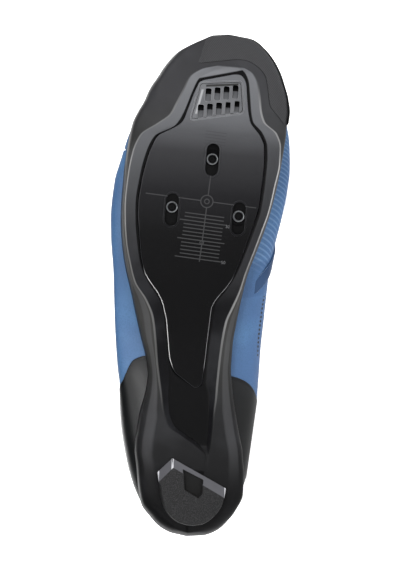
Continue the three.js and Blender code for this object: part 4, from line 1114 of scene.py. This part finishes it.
class Finish:
    """A procedural material under the piece's own name."""

    def __init__(self, name, **constants):
        self.material = bpy.data.materials.new(name)
        self.material.use_nodes = True
        self.tree = self.material.node_tree
        self.shader = self.tree.nodes["Principled BSDF"]
        for key, value in constants.items():
            self.shader.inputs[key.replace("_", " ")].default_value = value
        self.object = self.node("ShaderNodeTexCoord", "Object")

    def node(self, kind, out=0, inputs=None, **settings):
        node = self.tree.nodes.new(kind)
        for key, value in settings.items():
            setattr(node, key, value)
        for key, value in (inputs or {}).items():
            if isinstance(value, Value):
                self.tree.links.new(value.socket, node.inputs[key])
            else:
                node.inputs[key].default_value = value
        return Value(self.tree, node.outputs[out])

    def read(self, name):
        return self.node("ShaderNodeAttribute", "Fac", attribute_name=name)

    def noise(self, scale, detail=3.0, roughness=0.55, vector=None):
        inputs = {"Vector": vector or self.object, "Scale": scale, "Detail": detail}
        return self.node("ShaderNodeTexNoise", "Fac", {**inputs, "Roughness": roughness})

    def cells(self, scale):
        return self.node("ShaderNodeTexVoronoi", "Distance", {"Vector": self.object, "Scale": scale})

    def vector(self, x, y, z=0.0):
        return self.node("ShaderNodeCombineXYZ", 0, {"X": x, "Y": y, "Z": z})

    def blend(self, share, a, b):
        node = self.tree.nodes.new("ShaderNodeMix")
        node.data_type = "RGBA"
        for slot, value in ((node.inputs[0], share), (node.inputs[6], a), (node.inputs[7], b)):
            if isinstance(value, Value):
                self.tree.links.new(value.socket, slot)
            elif isinstance(value, (int, float)):
                slot.default_value = value
            else:
                slot.default_value = (*value, 1)
        return Value(self.tree, node.outputs[2])

    def tint(self, share, *stops):
        """A colour along stops of (place, colour)."""
        node = self.tree.nodes.new("ShaderNodeValToRGB")
        ramp = node.color_ramp
        while len(ramp.elements) < len(stops):
            ramp.elements.new(0.5)
        for element, (at, colour) in zip(ramp.elements, stops):
            element.position = at
            element.color = (*colour, 1)
        self.tree.links.new(share.socket, node.inputs[0])
        return Value(self.tree, node.outputs[0])

    def set(self, name, value):
        self.tree.links.new(value.socket, self.shader.inputs[name])

    def relief(self, height, depth, strength=1.0):
        """Surface relief in metres from a height of 0 to 1."""
        bump = self.tree.nodes.new("ShaderNodeBump")
        bump.inputs["Strength"].default_value = strength
        bump.inputs["Distance"].default_value = depth
        self.tree.links.new(height.socket, bump.inputs["Height"])
        self.tree.links.new(bump.outputs["Normal"], self.shader.inputs["Normal"])

    def on(self, *pieces):
        for piece in pieces:
            piece.data.materials.clear()
            piece.data.materials.append(self.material)


def paint(hexed):
    """A colour as seen on the screen, in the linear numbers that shaders take."""
    rgb = [int(hexed[i : i + 2], 16) / 255 for i in (0, 2, 4)]
    return tuple(c / 12.92 if c <= 0.04045 else ((c + 0.055) / 1.055) ** 2.4 for c in rgb)


def mm(f):
    """A piece's own places in mm: along the shoe, across it, and up."""
    return f.read("along") * 1000, f.read("across") * 1000, f.read("height") * 1000


def upper_finish():
    """Grained blue, ribbed beside the medial ball, with two rows of small holes and a dark lining. The rib
    crests carry painted highlights, and painted shade darkens it towards the sole.
    """
    f = Finish("upper_synthetic_leather", Specular_IOR_Level=0.32)
    s, _, h = mm(f)
    medial, foot, lining = f.read("medial"), f.read("foot"), f.read("lining")
    grain = f.noise(1100, 4) * 0.55 + f.cells(1700) * 0.45
    cloudy = f.noise(30, 3).rise(0.3, 0.7)
    colour = f.blend(cloudy, paint("416088"), paint("4a6e96"))
    colour = f.blend(grain.rise(0.35, 0.7) * 0.4, colour, paint("395779"))
    ribs = ((s + h * 0.8) * (2 * math.pi / 2.7)).sine() * 0.5 + 0.5
    ribbed = medial * s.rise(148, 160) * s.fall(225, 245) * foot.fall(0.25, 0.45)
    # painted highlight: the rib crests are painted lighter, where light catches them
    colour = f.blend(ribbed * ribs.rise(0.5, 1.0) * 0.5, colour, paint("7391b4"))
    band = medial * (s - h * 0.55).rise(124, 126) * (s - h * 0.55).fall(146, 148)
    colour = f.blend(band * 0.35, colour, paint("2b4670"))
    d1 = ((s - 105).wrapped(2.4) ** 2.0 + (h - 33.6 + (s - 105) * 0.175) ** 2.0) ** 0.5
    d2 = ((s - 106.2).wrapped(2.4) ** 2.0 + (h - 38.2 + (s - 105) * 0.194) ** 2.0) ** 0.5
    holes = d1.fall(0.55, 0.95).most(d2.fall(0.55, 0.95)) * medial * s.rise(103, 104) * s.fall(138, 139)
    colour = f.blend(holes, colour, paint("10151f"))
    # painted shade: darker where the upper meets the sole
    low = foot.fall(0.0, 0.05)
    colour = f.blend(low * 0.6, colour, paint("1d2c47"))
    weave = f.cells(1300)
    colour = f.blend(lining, colour, f.blend(weave, paint("191b1f"), paint("2a2d33")))
    f.set("Base Color", colour)
    f.set("Roughness", grain * 0.22 + 0.36 + lining * 0.3)
    f.relief(grain * 0.25 + ribbed * ribs * 0.6 - holes, 0.0004, 0.7)
    f.on(upper)


def sole_finish():
    """Satin dark grey; painted shade darkens it to the heel, painted light brightens the recess slopes to the
    toe, its channel is painted black as shade and its ridges carry thin painted highlights.
    """
    f = Finish("sole_frame_grey", Specular_IOR_Level=0.06)
    s, x, _ = mm(f)
    q = f.read("corner")  # the profile's corners, from 0 at the lateral rim to 15 at the medial rim
    grain = f.noise(1500, 3)
    # painted shade and light along the sole: the band's grey darkens towards the heel, the recess slopes turn
    # light towards the toe as painted reflection, and the medial forefoot slope is painted in shade
    band = f.tint(
        s / LENGTH,
        (0.0, paint("0c0c0d")),
        (0.1, paint("131314")),
        (0.25, paint("1f1f20")),
        (0.36, paint("2f2f2e")),
        (0.55, paint("363533")),
        (0.75, paint("2c2c2b")),
        (0.87, paint("303032")),
        (1.0, paint("2c2c2e")),
    )
    slope = f.tint(
        s / LENGTH,
        (0.0, paint("1c1c1d")),
        (0.2, paint("141416")),
        (0.36, paint("0b0b0d")),
        (0.5, paint("101012")),
        (0.58, paint("2a2a2c")),
        (0.7, paint("404143")),
        (0.83, paint("5a5b5e")),
        (0.92, paint("68696c")),
        (1.0, paint("606164")),
    )
    shaded = (x + 10).fall(-8, 8) * s.rise(140, 155) * s.fall(215, 235)
    slope = f.blend(shaded * 0.6, slope, paint("202022"))
    inner = q.rise(3.95, 4.15) * q.fall(10.85, 11.05) * s.rise(48, 58) * s.fall(264, 265.2)
    colour = f.blend(inner, band, slope)
    # painted shade: the channel floor and the pockets beside the plate are painted near black
    floor = q.rise(4.9, 5.02) * q.fall(9.98, 10.1) * s.rise(52, 53) * (s + x * 0.28).fall(260.6, 261.4)
    colour = f.blend(floor, colour, paint("070708"))
    # painted highlights: thin bright lines along the recess ridges, brighter on the lateral side
    lateral = x.rise(-1, 1)
    ridge_highlight = q.near(4.0, 0.11).most(q.near(11.0, 0.11)) * s.rise(60, 90) * s.fall(236, 262)
    bright = f.blend(lateral, paint("a9a9a9"), paint("808080"))
    strong = s.rise(60, 75) * 0.2 + s.rise(100, 130) * 0.2 + s.rise(150, 190) * s.fall(205, 225) * 0.4
    colour = f.blend(ridge_highlight * strong, colour, bright)
    # painted highlight: a faint light line along each land
    land_highlight = q.near(3.0, 0.14).most(q.near(12.0, 0.14)) * 0.14 * s.rise(25, 60) * s.fall(205, 225)
    colour = f.blend(land_highlight, colour, paint("77777a"))
    # painted shade: the outer side walls are painted dark, less so towards the toe
    wall_shade = q.fall(1.6, 2.0).most(q.rise(13.0, 13.4))
    colour = f.blend(wall_shade * (1 - 0.9 * s.rise(205, 240)), colour, paint("17181a"))
    colour = f.blend(f.noise(25, 3).rise(0.4, 0.7) * 0.12 * (1 - floor), colour, paint("55565a"))
    f.set("Base Color", colour)
    f.set("Roughness", grain * 0.16 + 0.34)
    f.relief(grain, 0.00005, 0.5)
    f.on(sole)


def plate_finish():
    """Gloss black with a painted reflection lightening it to the toe and painted highlights along its edges,
    with the cleat scale printed on it.
    """
    f = Finish("plate_gloss_black", Specular_IOR_Level=0.055)
    s, x, _ = mm(f)
    side = f.read("side")
    # painted reflection: the gloss black is painted grey towards the toe
    colour = f.tint(
        s / LENGTH,
        (0.0, paint("060607")),
        (0.5, paint("080809")),
        (0.6, paint("0b0b0c")),
        (0.68, paint("19191b")),
        (0.76, paint("2e2e30")),
        (0.84, paint("58595c")),
        (1.0, paint("606164")),
    )
    streaks = f.noise(1.0, 3, 0.6, f.vector(s * 0.05, x * 0.012))
    colour = f.blend(streaks.rise(0.45, 0.75) * 0.25 * s.rise(160, 220), colour, paint("2c2c2e"))
    tilt = s - x * 0.048
    centre = x - 4.6 - (202.7 - s) * 0.0437
    inside = s.rise(154.2, 154.6) * s.fall(202.4, 202.8)
    middle_line = centre.near(0.0, 0.42) * inside
    cross = (tilt - 188.0).near(0.0, 0.4) * x.rise(-22.5, -22) * x.fall(39.5, 40)
    r = ((x - 5.5) ** 2.0 + (s - 188.2) ** 2.0) ** 0.5
    rings = r.near(3.4, 0.42).most(r.near(1.3, 0.4))
    clear = r.rise(3.3, 3.5)
    short = (tilt - 180.3).wrapped(2.06).near(0.0, 0.42)
    short = short * centre.rise(-10.6, -10.3) * centre.fall(11.4, 11.7)
    long = (tilt - 176.2).wrapped(10.3).near(0.0, 0.42)
    long = long * centre.rise(-12.6, -12.3) * centre.fall(13.9, 14.2)
    scale = short.most(long) * tilt.rise(154.6, 155.0) * tilt.fall(180.7, 181.1)
    dot = (((x - 6.4) ** 2.0 + (s - 165.2) ** 2.0) ** 0.5).near(1.0, 0.4)
    print_mask = ((middle_line.most(cross) * clear).most(rings)).most(scale).most(dot)
    faint = (tilt - 220).wrapped(1.7).near(0.0, 0.35) * tilt.rise(219, 219.6) * tilt.fall(227.6, 228)
    faint = faint * centre.rise(-6, -5.7) * centre.fall(5.7, 6)
    colour = f.blend(print_mask * 0.8, colour, paint("3b3b3c"))
    colour = f.blend(faint * 0.35, colour, paint("303032"))
    # painted highlights along the bevelled edges, brightest on the lateral edge at the waist
    edge = side.near(0.5, 0.48)
    waist = s.rise(92, 98) * s.fall(140, 152)
    lit = f.blend(waist, paint("55565a"), f.blend(x.rise(8, 10), paint("9a9a9c"), paint("f0f0f0")))
    colour = f.blend(edge * (waist * 0.85 + 0.3).least(1.0), colour, lit)
    colour = f.blend(side.rise(0.9, 1.0), colour, paint("060607"))
    f.set("Base Color", colour)
    f.set("Roughness", f.noise(600, 3) * 0.1 + 0.16)
    f.on(plate)


def print_finish():
    """The grey print of the scale's numbers."""
    f = Finish("plate_numbers", Roughness=0.5)
    f.set("Base Color", f.blend(f.noise(400, 2), paint("545456"), paint("5e5e60")))
    f.on(numbers)


def vent_finish():
    """Grey with painted highlights on its edges and a painted lit strip at one side, and a dark bar painted
    as shade in the deep slot at the front.
    """
    f = Finish("vent_grey", Specular_IOR_Level=0.3)
    s, x, _ = mm(f)
    side = f.read("side")
    colour = f.blend(f.noise(80, 2).rise(0.3, 0.7), paint("4c4d50"), paint("56575a"))
    # painted highlights: lighter bevelled edges and a lit strip at the lateral side
    colour = f.blend(side.near(0.5, 0.5) * 0.6, colour, paint("9a9b9e"))
    strip = (x + (s - 234.3) * 0.202 - 18.9).near(-3.1, 0.9) * s.rise(236, 237) * s.fall(250, 251)
    # painted shade: a black bar where the deep slot at the front lies in shade
    bar = (s + (x - 13.8) * 0.13 - 255.0).near(-2.6, 0.9) * x.rise(-7.5, -7) * x.fall(10.5, 11)
    colour = f.blend(strip, colour, paint("88898b"))
    colour = f.blend(bar, colour, paint("060606"))
    f.set("Base Color", colour)
    f.set("Roughness", f.noise(900, 2) * 0.15 + 0.36)
    f.on(vent)


def bumper_finish():
    """Matt rubber with a fine diagonal hatch, a groove line and a darker side wall painted as shade."""
    f = Finish("bumper_rubber", Specular_IOR_Level=0.25)
    s, x, _ = mm(f)
    out = f.read("out")
    hatch = ((s * 0.8 - x) * (2 * math.pi / 1.15)).sine() * 0.5 + 0.5
    colour = f.blend(hatch * 0.4, paint("29292b"), paint("3c3c3e"))
    # painted shade: a black line along its inner border stands for the groove against the sole, and its side
    # wall is painted darker
    colour = f.blend(out.fall(0.012, 0.03), colour, paint("050506"))
    colour = f.blend(out.rise(0.66, 0.74), colour, paint("1b1c1e"))
    f.set("Base Color", colour)
    f.set("Roughness", f.noise(900, 2) * 0.12 + 0.55)
    f.relief(hatch, 0.00015, 0.8)
    f.on(bumper)


def pad_finish():
    """Speckled rubber with painted light on the front facets, painted highlights on their edges and the
    window painted dark as shade.
    """
    f = Finish("heel_rubber", Specular_IOR_Level=0.2)
    s, x, h = mm(f)
    speckle = f.noise(2200, 2)
    colour = f.blend(speckle.rise(0.45, 0.62), paint("141415"), paint("2a2a2b"))
    # painted light: the front facets are painted lighter, with painted highlights along their edges and ends
    facet = h.rise(0.25, 0.6) * (s - x * 0.483).rise(33.3, 33.6).most((s + x * 1.162).rise(52.7, 53.0))
    colour = f.blend(facet, colour, paint("505054"))
    corners = (x - 12.3).near(0.0, 0.8).most((x - 19.8).near(0.0, 0.8)).most((x + 18.3).near(0.0, 0.7))
    colour = f.blend(facet * corners, colour, paint("c4c4c8"))
    # painted shade: the deep window is painted near black
    window_shade = h.rise(0.5, 1.2) * (s - x * 0.41).fall(36.0, 36.5) * (s - x * 0.494).rise(24.9, 25.4)
    window_shade = window_shade * x.rise(-5.7, -5.3) * x.fall(6.1, 6.5)
    colour = f.blend(window_shade, colour, paint("050505"))
    f.set("Base Color", colour)
    f.set("Roughness", speckle * 0.2 + 0.55)
    f.relief(speckle, 0.0001, 0.6)
    f.on(pad)


def counter_finish():
    """Smooth black, with painted shade darkening its border."""
    f = Finish("counter_black", Specular_IOR_Level=0.22)
    grain = f.noise(1200, 3)
    colour = f.blend(f.noise(40, 3).rise(0.3, 0.7), paint("0f1011"), paint("171819"))
    # painted shade: a dark line along the border, where the overlay's edge meets the upper
    colour = f.blend(f.read("border").rise(0.94, 0.958), colour, paint("08090b"))
    f.set("Base Color", colour)
    f.set("Roughness", grain * 0.14 + 0.26)
    f.relief(grain, 0.00004, 0.5)
    f.on(counter)


def cloth_finish(name, dark, light, scale, *pieces):
    """A fine weave of two tones."""
    f = Finish(name, Specular_IOR_Level=0.2)
    weave = f.cells(scale) * 0.6 + f.noise(scale * 0.5, 2) * 0.4
    f.set("Base Color", f.blend(weave.rise(0.2, 0.7), paint(dark), paint(light)))
    f.set("Roughness", weave * 0.2 + 0.7)
    f.relief(weave, 0.0002, 0.7)
    f.on(*pieces)


def strap_finish():
    """Dark blue with a row of stitches along each edge."""
    f = Finish("strap_synthetic", Specular_IOR_Level=0.3)
    u, v = f.read("strap_u"), f.read("strap_v")
    grain = f.noise(1100, 4)
    colour = f.blend(f.noise(50, 2).rise(0.3, 0.7), paint("223a5a"), paint("2a4568"))
    stitch = abs(v).near(0.86, 0.03) * (u * 320).wrapped(3.0).near(0.0, 1.1)
    colour = f.blend(stitch, colour, paint("8fa6c4"))
    f.set("Base Color", colour)
    f.set("Roughness", grain * 0.2 + 0.4)
    f.relief(grain * 0.3 + stitch, 0.0002, 0.7)
    f.on(front_strap, instep_strap)


def nut_finish():
    """Worn steel at the face, painted black as shade further in."""
    f = Finish("nut_steel", Metallic=1.0)
    _, _, h = mm(f)
    worn = f.noise(900, 3)
    face = float(floor_height(np.array(CLEAT_FLAT[0]))) - PLATE_PROUD
    colour = f.blend(worn.rise(0.35, 0.7), paint("6e7072"), paint("828486"))
    # painted shade: black further into the slot, above the face
    f.set("Base Color", f.blend(h.rise(face + 0.7, face + 1.2), colour, paint("0b0b0c")))
    f.set("Roughness", worn * 0.2 + 0.28)
    f.on(*nuts.values())


for finish in (
    upper_finish,
    sole_finish,
    plate_finish,
    print_finish,
    vent_finish,
    bumper_finish,
    pad_finish,
    counter_finish,
):
    finish()
cloth_finish("tongue_fabric", "17191c", "2b2e33", 900, tongue)
cloth_finish("insole_fabric", "24272c", "3b4047", 1100, insole)
strap_finish()
nut_finish()

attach(numbers, "shoe")
REPLACED = {
    "upper": (upper, "upper_synthetic_leather"),
    "outsole": (sole, "sole_frame_grey"),
    "sole_plate": (plate, "plate_gloss_black"),
    "toe_vent": (vent, "vent_grey"),
    "toe_bumper": (bumper, "bumper_rubber"),
    "heel_pad": (pad, "heel_rubber"),
    "heel_counter": (counter, "counter_black"),
    "tongue": (tongue, "tongue_fabric"),
    "insole": (insole, "insole_fabric"),
    "front_strap": (front_strap, "strap_synthetic"),
    "instep_strap": (instep_strap, "strap_synthetic"),
}
for node, (piece, finish) in REPLACED.items():
    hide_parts(node)
    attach(piece, "shoe")
for name, piece in nuts.items():
    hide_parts("nut_" + name)
    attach(piece, "nut_" + name)


# Floor, light and camera
def stand(name, size, place_at, turn=(0, 0, 0)):
    """A square sheet of the studio."""
    bm = bmesh.new()
    bmesh.ops.create_grid(bm, x_segments=1, y_segments=1, size=size / 2)
    ob = made(bm, name)
    ob.location, ob.rotation_euler = place_at, turn
    return ob


floor = stand("floor", 6.0, (0, 0, 0))
backdrop = stand("backdrop", 6.0, (0, 1.6, 1.0), (math.pi / 2, 0, 0))
for piece, name, roughness, low, high, glow in (
    (floor, "floor_white", 0.8, "f2f2f2", "f6f6f6", 0.72),
    (backdrop, "backdrop_white", 1.0, "ffffff", "fcfcfc", 0.95),
):
    f = Finish(name, Roughness=roughness, Emission_Color=(1, 1, 1, 1), Emission_Strength=glow)
    f.set("Base Color", f.blend(f.noise(3, 2), paint(low), paint(high)))
    f.on(piece)

world = bpy.data.worlds.new("studio")
world.use_nodes = True
world.node_tree.nodes["Background"].inputs[0].default_value = (0.075, 0.078, 0.082, 1)
world.node_tree.nodes["Background"].inputs[1].default_value = 1.0
bpy.context.scene.world = world


def soft_light(name, place_at, size, power, shine):
    """A soft box turned to the shoe's middle. Shine is its share in the gloss."""
    data = bpy.data.lights.new(name, "AREA")
    data.shape = "RECTANGLE"
    data.size, data.size_y = size
    data.energy = power
    data.specular_factor = shine
    ob = bpy.data.objects.new(name, data)
    ob.location = place_at
    ob.rotation_euler = (Vector((0, 0, 0.05)) - Vector(place_at)).to_track_quat("-Z", "Y").to_euler()
    bpy.context.scene.collection.objects.link(ob)


soft_light("lateral_side", (0.0, -1.15, 1.0), (1.1, 0.6), 8, 0.9)
soft_light("front", (0.05, -1.5, 0.5), (0.5, 0.4), 9, 0.5)
soft_light("beyond_toe", (1.15, -0.9, 0.4), (0.7, 0.7), 9, 0.7)
soft_light("beyond_heel", (-1.2, -0.8, 0.35), (0.5, 0.6), 3, 0.4)

camera = bpy.data.objects.new("camera", bpy.data.cameras.new("camera"))
bpy.context.scene.collection.objects.link(camera)
bpy.context.scene.camera = camera
# How far off the camera stands, how much it sees and how far the shoe leans in the picture.
DISTANCE, VIEW_HEIGHT, VIEW_LEAN = 2.0, 0.3172, math.radians(4.87)
LOWEST_CAMERA = 0.012
target = place(141.6, 5.2, 8.0)
drop = math.asin((target[2] - LOWEST_CAMERA) / DISTANCE)
back = Vector((0, -math.cos(drop), -math.sin(drop)))
to_toe = Vector((TOE[0], BACK[0], UP[0]))
to_toe = (to_toe - back * to_toe.dot(back)).normalized()
side = to_toe.cross(back)
right = side * math.cos(VIEW_LEAN) + to_toe * math.sin(VIEW_LEAN)
upward = to_toe * math.cos(VIEW_LEAN) - side * math.sin(VIEW_LEAN)
turned = Matrix((right, upward, back)).transposed().to_4x4()
camera.matrix_world = Matrix.Translation(Vector(target) + back * DISTANCE) @ turned
camera.data.sensor_fit = "VERTICAL"
camera.data.sensor_height = 24
camera.data.lens = 24 * DISTANCE / VIEW_HEIGHT
camera.data.clip_start = 0.01
bpy.context.scene.view_settings.view_transform = "Standard"
